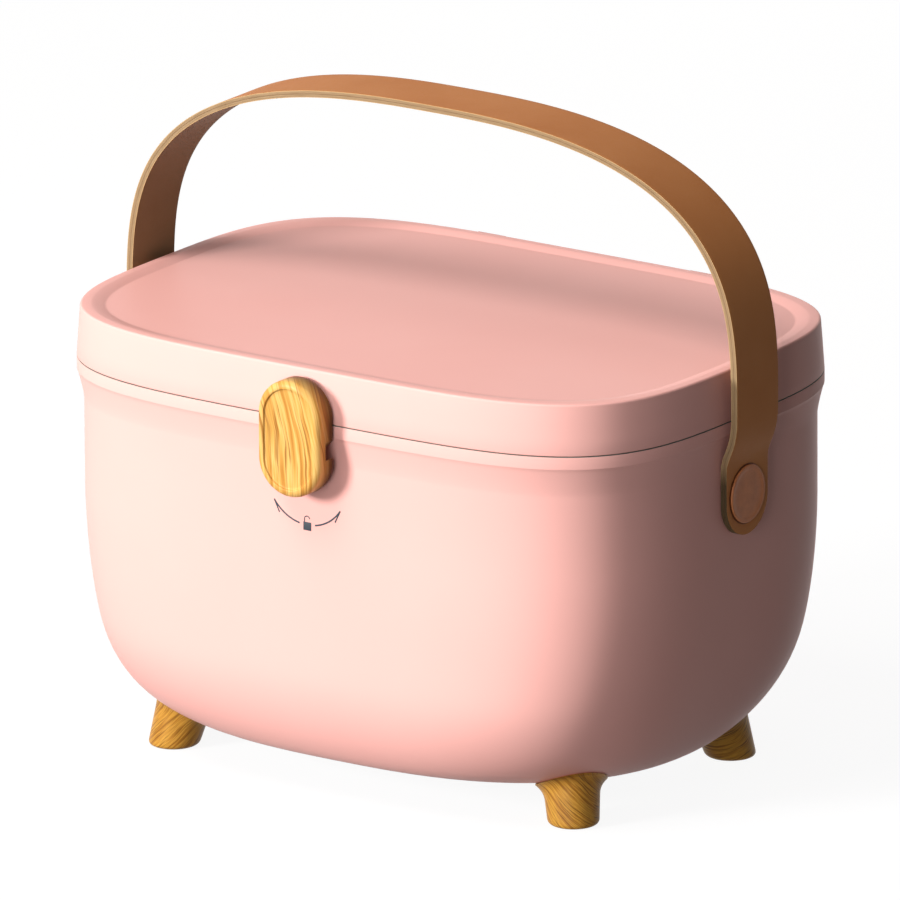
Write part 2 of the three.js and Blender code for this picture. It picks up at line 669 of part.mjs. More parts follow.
function latchScrew() {
  return turned([
    [0, -LATCH_SCREW_LENGTH],
    [LATCH_SCREW_RADIUS, -LATCH_SCREW_LENGTH],
    [LATCH_SCREW_RADIUS, 0],
    [LATCH_SCREW_HEAD_RADIUS, 0],
    [LATCH_SCREW_HEAD_RADIUS, LATCH_SCREW_HEAD_HEIGHT],
    [0, LATCH_SCREW_HEAD_HEIGHT],
  ]);
}

// Keeper: the stud on the tub's front that the latch's channel closes over
const KEEPER_BACK = TUB_HALF_WIDTH + FIT_GAP;
const KEEPER_TIP = -LATCH_BACK_Y + CHANNEL_DEPTH - KEEPER_TIP_ROOM;
const TUB_INNER_Y = TUB_HALF_WIDTH - TUB_WALL;

function latchKeeper() {
  const bore = KEEPER_SCREW_RADIUS + FIT_GAP;
  const depth = KEEPER_TIP - KEEPER_BACK;
  const screwEnd = KEEPER_SCREW_BITE + FIT_GAP;
  return turned([
    [0, screwEnd],
    [bore, screwEnd],
    [bore, 0],
    [KEEPER_FOOT_RADIUS, 0],
    [KEEPER_FOOT_RADIUS, KEEPER_FOOT_THICKNESS],
    [KEEPER_RADIUS, KEEPER_FOOT_THICKNESS],
    [KEEPER_RADIUS, depth],
    [0, depth],
  ]);
}

function keeperScrew() {
  const through = TUB_WALL + 2 * FIT_GAP + KEEPER_SCREW_BITE;
  return turned([
    [0, -KEEPER_SCREW_HEAD_HEIGHT],
    [KEEPER_SCREW_HEAD_RADIUS, -KEEPER_SCREW_HEAD_HEIGHT],
    [KEEPER_SCREW_HEAD_RADIUS, 0],
    [KEEPER_SCREW_RADIUS, 0],
    [KEEPER_SCREW_RADIUS, through],
    [0, through],
  ]);
}

function tub() {
  let shell = tubShell();
  for (const station of hingeStations) {
    shell = shell.add(tubKnuckles(station)).subtract(hingeBore(station));
  }
  for (const [, sx, sy] of footCorners) {
    shell = shell.add(footBoss(sx, sy)).subtract(footBossBore(sx, sy));
  }
  const front = -TUB_HALF_WIDTH - CUT_OVERRUN;
  const back = -TUB_INNER_Y + CUT_OVERRUN;
  const keeperBore = bar('y', KEEPER_SCREW_RADIUS + FIT_GAP, [0, front, KEEPER_Z], back);
  return shell.subtract(rivetBore(1)).subtract(rivetBore(-1)).subtract(keeperBore);
}

// Lid: shell, locating collar inside the tub's mouth, hinge knuckles and the shaft hole.
// The collar's faces are insets from the rim of the lid.
const COLLAR_OUTSIDE = TUB_INSET - LIP_REACH + TUB_WALL + SLIDE_GAP;
const COLLAR_INSIDE = COLLAR_OUTSIDE + COLLAR_WALL;
const COLLAR_BOTTOM = LID_BOTTOM - COLLAR_DEPTH;

function lidShell() {
  const at = (z, inset) => ring(z, BOX_LENGTH / 2 - inset, BOX_WIDTH / 2 - inset);
  const roof = LID_TOP - PANEL_RECESS - LID_ROOF;
  const panel = LID_TOP - PANEL_RECESS;
  const fillet = ROOF_FILLET * ROUND_SHARE;
  const edge = LID_EDGE_ROUND * ROUND_SHARE;
  return stack([
    at(roof, LID_WALL + ROOF_FILLET),
    at(roof - fillet, LID_WALL + fillet),
    at(roof - ROOF_FILLET, LID_WALL),
    at(LID_BOTTOM + COLLAR_WALL, Math.max(LID_WALL, COLLAR_INSIDE)),
    at(COLLAR_BOTTOM, COLLAR_INSIDE),
    at(COLLAR_BOTTOM, COLLAR_OUTSIDE),
    at(LID_BOTTOM, COLLAR_OUTSIDE),
    at(LID_BOTTOM, -LID_FLARE),
    at(LID_TOP - LID_EDGE_ROUND, 0),
    at(LID_TOP - edge, edge),
    at(LID_TOP, LID_EDGE_ROUND),
    at(LID_TOP, RIM_WIDTH),
    at(panel, RIM_WIDTH + PANEL_BEVEL),
  ]);
}

function lid() {
  const notchXs = [-COLLAR_NOTCH_WIDTH / 2, COLLAR_NOTCH_WIDTH / 2];
  const notchFront = -(BOX_WIDTH / 2 + LID_FLARE);
  const notchBack = -(BOX_WIDTH / 2 - COLLAR_INSIDE) + CUT_OVERRUN;
  const notchTop = LATCH_PIVOT_Z + LATCH_WASHER_RADIUS + SLIDE_GAP;
  const notchBottom = COLLAR_BOTTOM - CUT_OVERRUN;
  const notch = block(notchXs, [LID_FRONT_INNER_Y, notchBack], [notchBottom, notchTop]);
  const lower = block(notchXs, [notchFront, notchBack], [notchBottom, LID_BOTTOM]);
  const holeFront = LATCH_BACK_Y - CUT_OVERRUN;
  const shaftHole = bar('y', LATCH_SHAFT_RADIUS + FIT_GAP, [0, holeFront, LATCH_PIVOT_Z],
    LID_FRONT_INNER_Y + CUT_OVERRUN, ROUND_STEPS);
  let shell = lidShell().subtract(notch).subtract(lower).subtract(shaftHole);
  for (const station of hingeStations) {
    shell = shell.add(lidKnuckle(station)).subtract(hingeBore(station));
  }
  return shell;
}

// Tray: hangs by its flange on the ledge inside the tub's mouth
const TRAY_FLANGE_BOTTOM = LEDGE_HEIGHT + FIT_GAP;
const TRAY_TOP = TRAY_FLANGE_BOTTOM + TRAY_FLANGE;
const TRAY_BOTTOM = TRAY_TOP - TRAY_DEPTH;
const TRAY_ROUND_MIDDLE = TRAY_FLOOR_ROUND * ROUND_SHARE;

function trayCells() {
  const inner = TUB_WALL + TRAY_SIDE_ROOM + TRAY_WALL;
  const at = (z, inset) => ring(z, TUB_HALF_LENGTH - inset, TUB_HALF_WIDTH - inset);
  const floor = TRAY_BOTTOM + TRAY_FLOOR;
  const hollow = stack([
    at(floor, inner + TRAY_DRAFT + TRAY_FLOOR_ROUND),
    at(floor + TRAY_ROUND_MIDDLE, inner + TRAY_DRAFT + TRAY_ROUND_MIDDLE),
    at(floor + TRAY_FLOOR_ROUND, inner + TRAY_DRAFT),
    at(TRAY_TOP + CUT_OVERRUN, inner),
  ]);
  const dividerTop = TRAY_TOP - DIVIDER_DROP;
  const halfThick = DIVIDER_THICKNESS / 2;
  const lengthwise = [-TUB_HALF_LENGTH, TUB_HALF_LENGTH];
  const crosswise = [-TUB_HALF_WIDTH, TUB_HALF_WIDTH];
  const zs = [TRAY_BOTTOM, dividerTop];
  let dividers = block(lengthwise, [-halfThick, halfThick], zs);
  const cellsHalfLength = TUB_HALF_LENGTH - inner;
  const columnWidth = (2 * cellsHalfLength) / TRAY_COLUMNS;
  for (let i = 1; i < TRAY_COLUMNS; i += 1) {
    const x = i * columnWidth - cellsHalfLength;
    dividers = dividers.add(block([x - halfThick, x + halfThick], crosswise, zs));
  }
  return hollow.subtract(dividers);
}

function tray() {
  const body = TUB_WALL + TRAY_SIDE_ROOM;
  const rim = TUB_WALL - LIP_REACH + SLIDE_GAP;
  const at = (z, inset) => ring(z, TUB_HALF_LENGTH - inset, TUB_HALF_WIDTH - inset);
  const shell = stack([
    at(TRAY_BOTTOM, body + TRAY_DRAFT + TRAY_FLOOR_ROUND),
    at(TRAY_BOTTOM + TRAY_ROUND_MIDDLE, body + TRAY_DRAFT + TRAY_ROUND_MIDDLE),
    at(TRAY_BOTTOM + TRAY_FLOOR_ROUND, body + TRAY_DRAFT),
    at(TRAY_FLANGE_BOTTOM, body),
    at(TRAY_FLANGE_BOTTOM, rim),
    at(TRAY_TOP, rim),
  ]);
  return shell.subtract(trayCells());
}

// Assembly
const box = new THREE.Group();

function place(name, shape, material, parent = box) {
  const geometry = shape instanceof THREE.BufferGeometry ? shape : toGeometry(shape);
  const mesh = new THREE.Mesh(geometry, material);
  mesh.name = name;
  parent.add(mesh);
  return mesh;
}

place('tub', tub(), plastic(PINK, 0.42));
place('lid', lid(), plastic(PINK, 0.5));
place('tray', tray(), plastic(TRAY_PINK, 0.5));

hingeStations.forEach((station, i) => {
  const pin = place(`hinge_pin_${['left', 'right'][i]}`, hingePin(), metal(STEEL));
  pin.rotation.z = -Math.PI / 2;
  pin.position.set(station - HINGE_HALF - FIT_GAP, HINGE_Y, HINGE_Z);
});

for (const [corner, sx, sy] of footCorners) {
  place(`foot_${corner}`, foot(sx, sy), plastic(WOOD, 0.45));
  const screw = place(`foot_screw_${corner}`, footScrew(), metal(STEEL));
  const [x, y] = footScrewPlace(sx, sy);
  screw.rotation.x = Math.PI / 2;
  screw.position.set(x, y, 0);
}

place('handle_strap', strap(), plastic(LEATHER, 0.6));
for (const [name, side] of [['left', -1], ['right', 1]]) {
  const rivet = new THREE.Group();
  rivet.rotation.z = (-side * Math.PI) / 2;
  rivet.position.set(side * TUB_INNER_X, 0, RIVET_HEIGHT);
  box.add(rivet);
  place(`rivet_cap_${name}`, rivetCap(), plastic(CAP_BROWN, 0.5), rivet);
  place(`rivet_washer_${name}`, rivetWasher(), metal(STEEL), rivet);
  place(`rivet_post_${name}`, rivetPost(), metal(STEEL), rivet);
}

const latch = new THREE.Group();
latch.position.set(0, 0, LATCH_PIVOT_Z);
box.add(latch);
place('latch_knob', latchKnob(), plastic(WOOD, 0.4), latch);
const washerBore = LATCH_SCREW_RADIUS + FIT_GAP;
const springBore = LATCH_SHAFT_RADIUS + FIT_GAP;
const springThickness = LATCH_SPRING_THICKNESS - FIT_GAP;
const spring = place('latch_spring_washer',
  shaftRing(LATCH_WASHER_RADIUS, springThickness, springBore), metal(STEEL), latch);
spring.position.set(0, LATCH_BACK_Y + FIT_GAP, 0);
const washerFace = LID_FRONT_INNER_Y + 2 * FIT_GAP;
const washer = place('latch_washer',
  shaftRing(LATCH_WASHER_RADIUS, LATCH_WASHER_THICKNESS, washerBore), metal(STEEL), latch);
washer.position.set(0, washerFace, 0);
const screw = place('latch_screw', latchScrew(), metal(STEEL), latch);
screw.position.set(0, washerFace + LATCH_WASHER_THICKNESS + FIT_GAP, 0);

const keeper = place('latch_keeper', latchKeeper(), plastic(PINK, 0.45));
keeper.rotation.z = Math.PI;
keeper.position.set(0, -KEEPER_BACK, KEEPER_Z);
const stud = place('keeper_screw', keeperScrew(), metal(STEEL));
stud.rotation.z = Math.PI;
stud.position.set(0, -(TUB_INNER_Y - FIT_GAP), KEEPER_Z);

export default box;
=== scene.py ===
"""Medication lock box with a hinged lid, a turning front latch and a leather strap handle.

The shells, hinges, tray, feet, latch, strap, rivets and the printed mark are modelled here
over the loaded frame, in metres, with +X along the box, -Y at the front and +Z up.
"""
import bisect
import math

import bmesh
import bpy
from mathutils import Matrix, Vector


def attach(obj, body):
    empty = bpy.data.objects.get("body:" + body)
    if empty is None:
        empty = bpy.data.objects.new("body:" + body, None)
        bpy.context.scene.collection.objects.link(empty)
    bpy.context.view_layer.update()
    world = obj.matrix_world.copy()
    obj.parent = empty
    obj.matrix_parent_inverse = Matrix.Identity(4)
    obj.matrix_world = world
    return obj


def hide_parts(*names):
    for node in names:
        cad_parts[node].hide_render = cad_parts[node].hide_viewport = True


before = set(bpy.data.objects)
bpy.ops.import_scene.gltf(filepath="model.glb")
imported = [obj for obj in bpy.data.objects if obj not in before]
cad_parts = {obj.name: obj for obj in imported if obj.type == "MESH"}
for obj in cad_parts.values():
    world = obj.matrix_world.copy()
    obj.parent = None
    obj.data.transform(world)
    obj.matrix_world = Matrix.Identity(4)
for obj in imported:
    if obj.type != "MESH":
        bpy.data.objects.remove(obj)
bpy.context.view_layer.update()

MM = 0.001
TAU = 2 * math.pi
TOUCH_GAP = 0.3 * MM
SIDES = (("left", -1), ("right", 1))

# Plan of the lid's rim; the tub shares its powers
BOX_HALF_LENGTH = 150 * MM
BOX_HALF_WIDTH = 107.8 * MM
LENGTH_POWER = 4.26
WIDTH_POWER = 3.64

# Tub
TUB_BOTTOM = 15.9 * MM
TUB_TOP = 172.7 * MM
TUB_WALL = 2.8 * MM
TUB_FLOOR = 3 * MM
TUB_HALF_LENGTH = 148.7 * MM
TUB_HALF_WIDTH = 106.5 * MM
END_CURVE_HEIGHT = 102.01 * MM
END_CURVE_REACH = 33 * MM
SIDE_CURVE_HEIGHT = 43.01 * MM
SIDE_CURVE_REACH = 24 * MM
CURVE_POWER = 1.8
BOTTOM_LENGTH_POWER = 2.7
BOTTOM_WIDTH_POWER = 2.12
POWER_FADE = 5.4
LIP_HEIGHT = 5.8 * MM
LIP_REACH = 2.6 * MM
LIP_ROUND = 0.35 * MM
COVE_HEIGHT = 13 * MM
COVE_REACH = 0.92 * LIP_REACH
COVE_POWER = 1.3
LEDGE_HEIGHT = 165.2 * MM

# Lid
LID_BOTTOM = 173.05 * MM
LID_TOP = 195.3 * MM
LID_WALL = 2.6 * MM
LID_ROOF = 2.6 * MM
LID_FLARE = 1.3 * MM
LID_EDGE_ROUND = 1 * MM
LID_LOWER_ROUND = 0.3 * MM
RIM_WIDTH = 4.2 * MM
PANEL_RECESS = 1.2 * MM
PANEL_SLOPE = 5.2 * MM
ROOF_FILLET = 3 * MM
COLLAR_DEPTH = 4 * MM
COLLAR_OUTSIDE = 2.1 * MM
COLLAR_INSIDE = 3.7 * MM
COLLAR_ROUND = 0.3 * MM
COLLAR_NOTCH = 22 * MM
COLLAR_NOTCH_DEPTH = 3.5 * MM
COLLAR_NOTCH_TOP = 185 * MM
CUT_BELOW_LID = 6 * MM
CUT_FRONT_Y = -112 * MM
SHAFT_HOLE_FRONT_Y = -115 * MM

# Hinges
HINGE_X = 55.05 * MM
HINGE_Y = 114 * MM
HINGE_Z = 172.9 * MM
KNUCKLE_RADIUS = 4.4 * MM
LID_KNUCKLE_LENGTH = 14 * MM
TUB_KNUCKLE_LENGTH = 9 * MM
KNUCKLE_GAP = 0.5 * MM
KNUCKLE_ROOT = 2 * MM
KNUCKLE_EDGE = 0.35 * MM
LEAF_THICKNESS = 2.4 * MM
LEAF_DROP = 1.5 * MM
HINGE_PIN_RADIUS = 1.6 * MM
# Radii, and distances beyond the knuckles
PIN_HEAD = ((2 * MM, 1.3 * MM), (2.4 * MM, 0.9 * MM), (2.4 * MM, TOUCH_GAP))
PIN_TIP = ((HINGE_PIN_RADIUS, 0.4 * MM), (1.2 * MM, 0.7 * MM))

# Latch
LATCH_RADIUS = 16 * MM
LATCH_LENGTH = 51 * MM
LATCH_TOP = 192.3 * MM
LATCH_BACK = -110.2 * MM
LATCH_THICKNESS = 10.5 * MM
LATCH_ROUND = 2.7 * MM
LATCH_RIM = 3.5 * MM
LATCH_DISH = 1 * MM
LATCH_LIP_ROUND = 0.45 * MM
LATCH_BACK_ROUND = 0.5 * MM
LATCH_PIVOT_Z = 179 * MM
LATCH_SHAFT_RADIUS = 3 * MM
LATCH_SHAFT_END = -104.9 * MM
CHANNEL_RADIUS = 22.8 * MM
CHANNEL_HALF_WIDTH = 2.8 * MM
CHANNEL_DEPTH = 5.4 * MM

# Strap and rivets
STRAP_HALF_WIDTH = 15.5 * MM
STRAP_THICKNESS = 3.1 * MM
STRAP_LEG_X = 150.8 * MM
STRAP_ARCH_HALF_SPAN = 156.2 * MM
STRAP_ARCH_FOOT = 175.6 * MM
STRAP_ARCH_RISE = 112 * MM
STRAP_SPAN_POWER = 2.63
STRAP_RISE_POWER = 3.13
STRAP_BEND_Z = 151.8 * MM
STRAP_BOW_SHARES = (0.3, 0.6)
RIVET_HEIGHT = 138.8 * MM
STRAP_END_BELOW_RIVET = 17.8 * MM
STRAP_EDGE_ROUND = 0.5 * MM
STRAP_GLUE_GAP = 0.05 * MM
STRAP_PRESSED = 0.5 * MM
STRAP_PRESSED_RADIUS = 15.2 * MM
STRAP_PRESSED_FADE = 2.4 * MM
RIVET_SHANK_RADIUS = 3 * MM
RIVET_CAP_RADIUS = 12.6 * MM
RIVET_CAP_SEAT = 152.2 * MM
RIVET_CAP_THICKNESS = 0.9 * MM
RIVET_CAP_ROUND = 0.45 * MM
RIVET_CAP_CHAMFER = 0.3 * MM
# Distances in from the rim, or shares of the radius, and depths below the top
RIVET_CAP_STEP = ((1.6 * MM, 0.05 * MM), (2.1 * MM, 0.22 * MM), (2.7 * MM, 0.3 * MM))
RIVET_CAP_FACE = ((0.55, 0.22 * MM), (0.25, 0.16 * MM))

# Feet
FOOT_X = 103.6 * MM
FOOT_Y = 59.4 * MM
FOOT_SPLAY = 3.2 * MM
FOOT_BOTTOM_RADIUS = 11 * MM
FOOT_WAIST_RADIUS = 12.2 * MM
FOOT_FLANGE_RADIUS = 15.4 * MM
FOOT_FLARE_HEIGHT = 7.4 * MM
FOOT_FLANGE_EDGE = 0.7 * MM
FOOT_EDGE_ROUND = 1.9 * MM
FOOT_RECESS_RADIUS = 3.9 * MM
FOOT_RECESS_DEPTH = 5 * MM
FOOT_RECESS_CHAMFER = 0.4 * MM
FOOT_WALL_POWER = 1.7
FOOT_FLARE_POWER = 3.0

# Tray
TRAY_TOP = 167.5 * MM
TRAY_BOTTOM = 129.5 * MM
TRAY_FLANGE = 2 * MM
TRAY_FLANGE_INSET = 0.8 * MM
TRAY_INSET = 9.2 * MM
TRAY_WALL = 1.8 * MM
TRAY_FLOOR = 2 * MM
TRAY_DRAFT = 2.5 * MM
TRAY_FLOOR_ROUND = 4 * MM
TRAY_CELL_LIP = 1 * MM
DIVIDER_HALF_THICKNESS = 0.9 * MM
DIVIDER_DROP = 3 * MM
DIVIDER_EDGE = 0.8 * MM
DIVIDER_REACH = (160 * MM, 120 * MM)

# Turn mark, with its angles in degrees from straight down
MARK_RADIUS = 20.8 * MM
MARK_CENTRE_Z = 146.8 * MM
MARK_STROKE = 0.75 * MM
MARK_ANGLES = (11, 54.8)
MARK_BARB = (14.3 * MM, 129.4 * MM)
PADLOCK_HALF_WIDTH = 2.05 * MM
PADLOCK_BOTTOM = 123.6 * MM
PADLOCK_TOP = 127.3 * MM
SHACKLE_RADIUS = 1.35 * MM
SHACKLE_CENTRE = (-0.1 * MM, 128.55 * MM)
SHACKLE_FOOT = (-1.45 * MM, 127.2 * MM)
SHACKLE_STROKE = 0.5 * MM
PRINT_FLATTENING = 0.16
PRINT_OFFSET = 0.02 * MM
PRINT_DEPTH = 0.07 * MM

# Fineness
PLAN_STEPS = 192
TUB_CURVE_RINGS = 26
TUB_INSIDE_RINGS = 18
SLOPE_RINGS = 8
TRAY_STEPS = 128
FOOT_STEPS = 64
FOOT_WALL_RINGS = 14
LATCH_STEPS = 128
LATCH_ARC_STEPS = 46
BOW_STEPS = 60
CROWN_STEPS = 400
STRAP_STEPS = 180
STRAP_END_STEPS = 12
STRAP_ACROSS_STEPS = 14


# Modelling helpers

def take(piece):
    """Makes a piece the only selected and active one."""
    for other in bpy.context.selected_objects:
        other.select_set(False)
    piece.select_set(True)
    bpy.context.view_layer.objects.active = piece
    return piece


def added(name):
    """Names the piece that an operator just made and puts its place into its mesh."""
    piece = take(bpy.context.object)
    piece.name = piece.data.name = name
    bpy.ops.object.transform_apply(location=True, rotation=True, scale=True)
    return piece


def modify(piece, kind, **settings):
    """Adds a modifier and applies it."""
    take(piece)
    modifier = piece.modifiers.new(kind.lower(), kind)
    for key, value in settings.items():
        setattr(modifier, key, value)
    bpy.ops.object.modifier_apply(modifier=modifier.name)
    return piece


def join_solid(piece, other, operation="UNION"):
    """Joins or cuts with another piece, which is used up."""
    modify(piece, "BOOLEAN", operation=operation, object=other, solver="EXACT")
    bpy.data.objects.remove(other, do_unlink=True)
    return piece


def only_map(mesh, name):
    """A new UV map in the place of those that the primitive came with."""
    while mesh.uv_layers:
        mesh.uv_layers.remove(mesh.uv_layers[0])
    return mesh.uv_layers.new(name=name)


def round_edges(piece, width, segments, angle=30):
    return modify(
        piece, "BEVEL", width=width, segments=segments, limit_method="ANGLE",
        angle_limit=math.radians(angle), use_clamp_overlap=True,
    )


def block(name, low, high):
    """A box from its lowest to its highest corner."""
    middle = [(a + b) / 2 for a, b in zip(low, high)]
    size = [b - a for a, b in zip(low, high)]
    bpy.ops.mesh.primitive_cube_add(size=1, location=middle, scale=size)
    return added(name)


def rod(name, axis, radius, start, end, steps=48):
    """A round bar between two points on a line along X or Y."""
    turn = {"X": (0, math.pi / 2, 0), "Y": (math.pi / 2, 0, 0)}[axis]
    middle = [(a + b) / 2 for a, b in zip(start, end)]
    length = max(abs(b - a) for a, b in zip(start, end))
    bpy.ops.mesh.primitive_cylinder_add(
        vertices=steps, radius=radius, depth=length, location=middle, rotation=turn
    )
    return added(name)


def grow_rings(name, rings, steps, poles=True):
    """Extrudes a circle of edges ring after ring. Each ring is a function that gives the
    place of a vertex for its turn. The ends are closed by poles or by flat faces."""
    bpy.ops.mesh.primitive_circle_add(vertices=steps, radius=1, fill_type="NOTHING")
    piece = added(name)
    bpy.ops.object.mode_set(mode="EDIT")
    mesh = piece.data
    form = bmesh.from_edit_mesh(mesh)
    turns = form.verts.layers.int.new("turn")
    for vert in form.verts:
        angle = math.atan2(vert.co.y, vert.co.x)
        vert[turns] = round(angle / TAU * steps) % steps

    def place(ring):
        grown = bmesh.from_edit_mesh(mesh)
        layer = grown.verts.layers.int["turn"]
        for vert in grown.verts:
            if vert.select:
                vert.co = ring(vert[layer] / steps * TAU)
        bmesh.update_edit_mesh(mesh)

    def close():
        if poles:
            bpy.ops.mesh.extrude_region_move()
            bpy.ops.mesh.merge(type="CENTER")
        else:
            bpy.ops.mesh.edge_face_add()

    bpy.ops.mesh.select_all(action="SELECT")
    place(rings[0])
    for ring in rings[1:]:
        bpy.ops.mesh.extrude_region_move()
        place(ring)
    close()
    bpy.ops.mesh.select_all(action="DESELECT")
    bpy.ops.mesh.select_mode(type="EDGE")
    bpy.ops.mesh.select_non_manifold(extend=False)
    close()
    bpy.ops.mesh.select_mode(type="VERT")
    bpy.ops.mesh.select_all(action="SELECT")
    bpy.ops.mesh.normals_make_consistent(inside=False)
    bpy.ops.object.mode_set(mode="OBJECT")
    mesh.attributes.remove(mesh.attributes["turn"])
    return piece


def spin_profile(name, profile, axis_point, axis, steps):
    """Spins a profile of (radius, height) points about an axis through a point."""
    heading = Vector(axis).normalized()
    side = heading.orthogonal().normalized()
    origin = Vector(axis_point)

    def ring_at(radius, height):
        def ring(turn):
            out = side * math.cos(turn) + heading.cross(side) * math.sin(turn)
            return origin + heading * height + out * radius
        return ring

    return grow_rings(name, [ring_at(r, h) for r, h in profile], steps)


def quarter(steps):
    """Pairs (across, along) of a quarter round from (0, 0) to (1, 1), leaving along first."""
    return [
        (1 - math.cos(i / steps * math.pi / 2), math.sin(i / steps * math.pi / 2))
        for i in range(steps + 1)
    ]


# Plan sections

def superellipse(z, half_length, half_width, powers=(LENGTH_POWER, WIDTH_POWER)):
    """A level ring of the plan."""
    def ring(turn):
        c, s = math.cos(turn), math.sin(turn)
        x = math.copysign(abs(c) ** (2 / powers[0]), c) * half_length
        y = math.copysign(abs(s) ** (2 / powers[1]), s) * half_width
        return Vector((x, y, z))
    return ring


def draw_in(height, curve_height, reach):
    """How far a wall that curves in below curve_height stands in at a height."""
    q = min(max(1 - height / curve_height, 0), 1)
    return reach * (1 - (1 - q ** CURVE_POWER) ** (1 / CURVE_POWER))


def tub_section(height, growth=0.0):
    """Half length, half width and powers of the tub's curved wall at a height."""
    end_height = END_CURVE_HEIGHT + growth
    fade = max(1 - height / end_height, 0) ** POWER_FADE
    half_length = TUB_HALF_LENGTH + growth - draw_in(height, end_height, END_CURVE_REACH + growth)
    side_height = SIDE_CURVE_HEIGHT + growth
    half_width = TUB_HALF_WIDTH + growth - draw_in(height, side_height, SIDE_CURVE_REACH + growth)
    powers = (
        LENGTH_POWER + (BOTTOM_LENGTH_POWER - LENGTH_POWER) * fade,
        WIDTH_POWER + (BOTTOM_WIDTH_POWER - WIDTH_POWER) * fade,
    )
    return half_length, half_width, powers


def tub_curve_rings(growth, bottom, steps):
    """The curved wall from the bottom up, with the rings closest where it turns most."""
    rings = []
    for i in range(steps + 1):
        height = (END_CURVE_HEIGHT + growth) * (i / steps) ** 2
        half_length, half_width, powers = tub_section(height, growth)
        rings.append(superellipse(bottom + height, half_length, half_width, powers))
    return rings


def tub_underside(x, y):
    """Height of the tub's outer skin over a point near its bottom."""
    low, high = 0.0, END_CURVE_HEIGHT
    for _ in range(40):
        middle = (low + high) / 2
        half_length, half_width, powers = tub_section(middle)
        # The ring's two powers act on the plan as abs(x/a)^p + abs(y/b)^q = 1
        if abs(x / half_length) ** powers[0] + abs(y / half_width) ** powers[1] > 1:
            low = middle
        else:
            high = middle
    return TUB_BOTTOM + (high if high > 1e-6 else 0.0)


# Tub, with its lip, ledge and smooth inside

def make_tub():
    rings = tub_curve_rings(0, TUB_BOTTOM, TUB_CURVE_RINGS)
    lip_bottom = TUB_TOP - LIP_HEIGHT
    cove_bottom = lip_bottom - COVE_HEIGHT

    def wall(z, out):
        return superellipse(z, TUB_HALF_LENGTH + out, TUB_HALF_WIDTH + out)

    for i in range(SLOPE_RINGS + 1):
        share = i / SLOPE_RINGS
        rings.append(wall(cove_bottom + COVE_HEIGHT * share, COVE_REACH * share ** COVE_POWER))
    rings.append(wall(lip_bottom + LIP_ROUND, LIP_REACH))
    rings += [
        wall(TUB_TOP - LIP_ROUND + LIP_ROUND * up, LIP_REACH - LIP_ROUND * inward)
        for inward, up in quarter(3)
    ]
    mouth = LIP_REACH - TUB_WALL
    rings += [
        wall(TUB_TOP - LIP_ROUND * down, mouth + LIP_ROUND * (1 - back))
        for down, back in quarter(3)
    ]
    rings.append(wall(LEDGE_HEIGHT, mouth))
    inside = tub_curve_rings(-TUB_WALL, TUB_BOTTOM + TUB_FLOOR, TUB_INSIDE_RINGS)
    inside.append(wall(LEDGE_HEIGHT, -TUB_WALL))
    rings += inside[::-1]
    return grow_rings("tub_shell", rings, PLAN_STEPS)


# Hinges: knuckles on a tapered root, with the lid's leaf between two tub knuckles

def make_knuckle(name, x_from, x_to, root_y, root_z, leaf=None):
    roll = rod(name, "X", KNUCKLE_RADIUS, (x_from, HINGE_Y, HINGE_Z), (x_to, HINGE_Y, HINGE_Z))
    root = block(name + "_root", (x_from, root_y, root_z[0]), (x_to, HINGE_Y, root_z[1]))
    join_solid(roll, root)
    if leaf:
        bottom, back, top = leaf
        join_solid(roll, block(name + "_leaf", (x_from, root_y, bottom), (x_to, back, top)))
    bore = rod(
        name + "_bore", "X", HINGE_PIN_RADIUS + TOUCH_GAP,
        (x_from - MM, HINGE_Y, HINGE_Z), (x_to + MM, HINGE_Y, HINGE_Z), 32,
    )
    join_solid(roll, bore, "DIFFERENCE")
    return round_edges(roll, KNUCKLE_EDGE, 2)


def make_hinges():
    seam_half_width = TUB_HALF_WIDTH + LIP_REACH
    half = LID_KNUCKLE_LENGTH / 2
    for side_name, side in SIDES:
        x = side * HINGE_X
        for place, way in (("outer", side), ("inner", -side)):
            a = x + way * (half + KNUCKLE_GAP)
            b = a + way * TUB_KNUCKLE_LENGTH
            knuckle = make_knuckle(
                f"tub_knuckle_{side_name}_{place}", min(a, b), max(a, b),
                seam_half_width - KNUCKLE_ROOT, (HINGE_Z - KNUCKLE_RADIUS, TUB_TOP),
            )
            finish_piece(knuckle, "box", pink_shell)
        leaf = (LID_BOTTOM, seam_half_width + LEAF_THICKNESS, LID_TOP - LEAF_DROP)
        knuckle = make_knuckle(
            f"lid_knuckle_{side_name}", x - half, x + half,
            BOX_HALF_WIDTH - KNUCKLE_ROOT, (LID_BOTTOM, HINGE_Z + KNUCKLE_RADIUS), leaf,
        )
        finish_piece(knuckle, "lid", pink_shell)
        reach = half + KNUCKLE_GAP + TUB_KNUCKLE_LENGTH
        profile = [(radius, -reach - beyond) for radius, beyond in PIN_HEAD]
        profile.append((HINGE_PIN_RADIUS, -reach - TOUCH_GAP))
        profile += [(radius, reach + beyond) for radius, beyond in PIN_TIP]
        pin = spin_profile(
            f"hinge_pin_{side_name}_turned", profile, (x, HINGE_Y, HINGE_Z), (1, 0, 0), 32
        )
        finish_piece(pin, "box", steel, [f"hinge_pin_{side_name}"])


# Lid

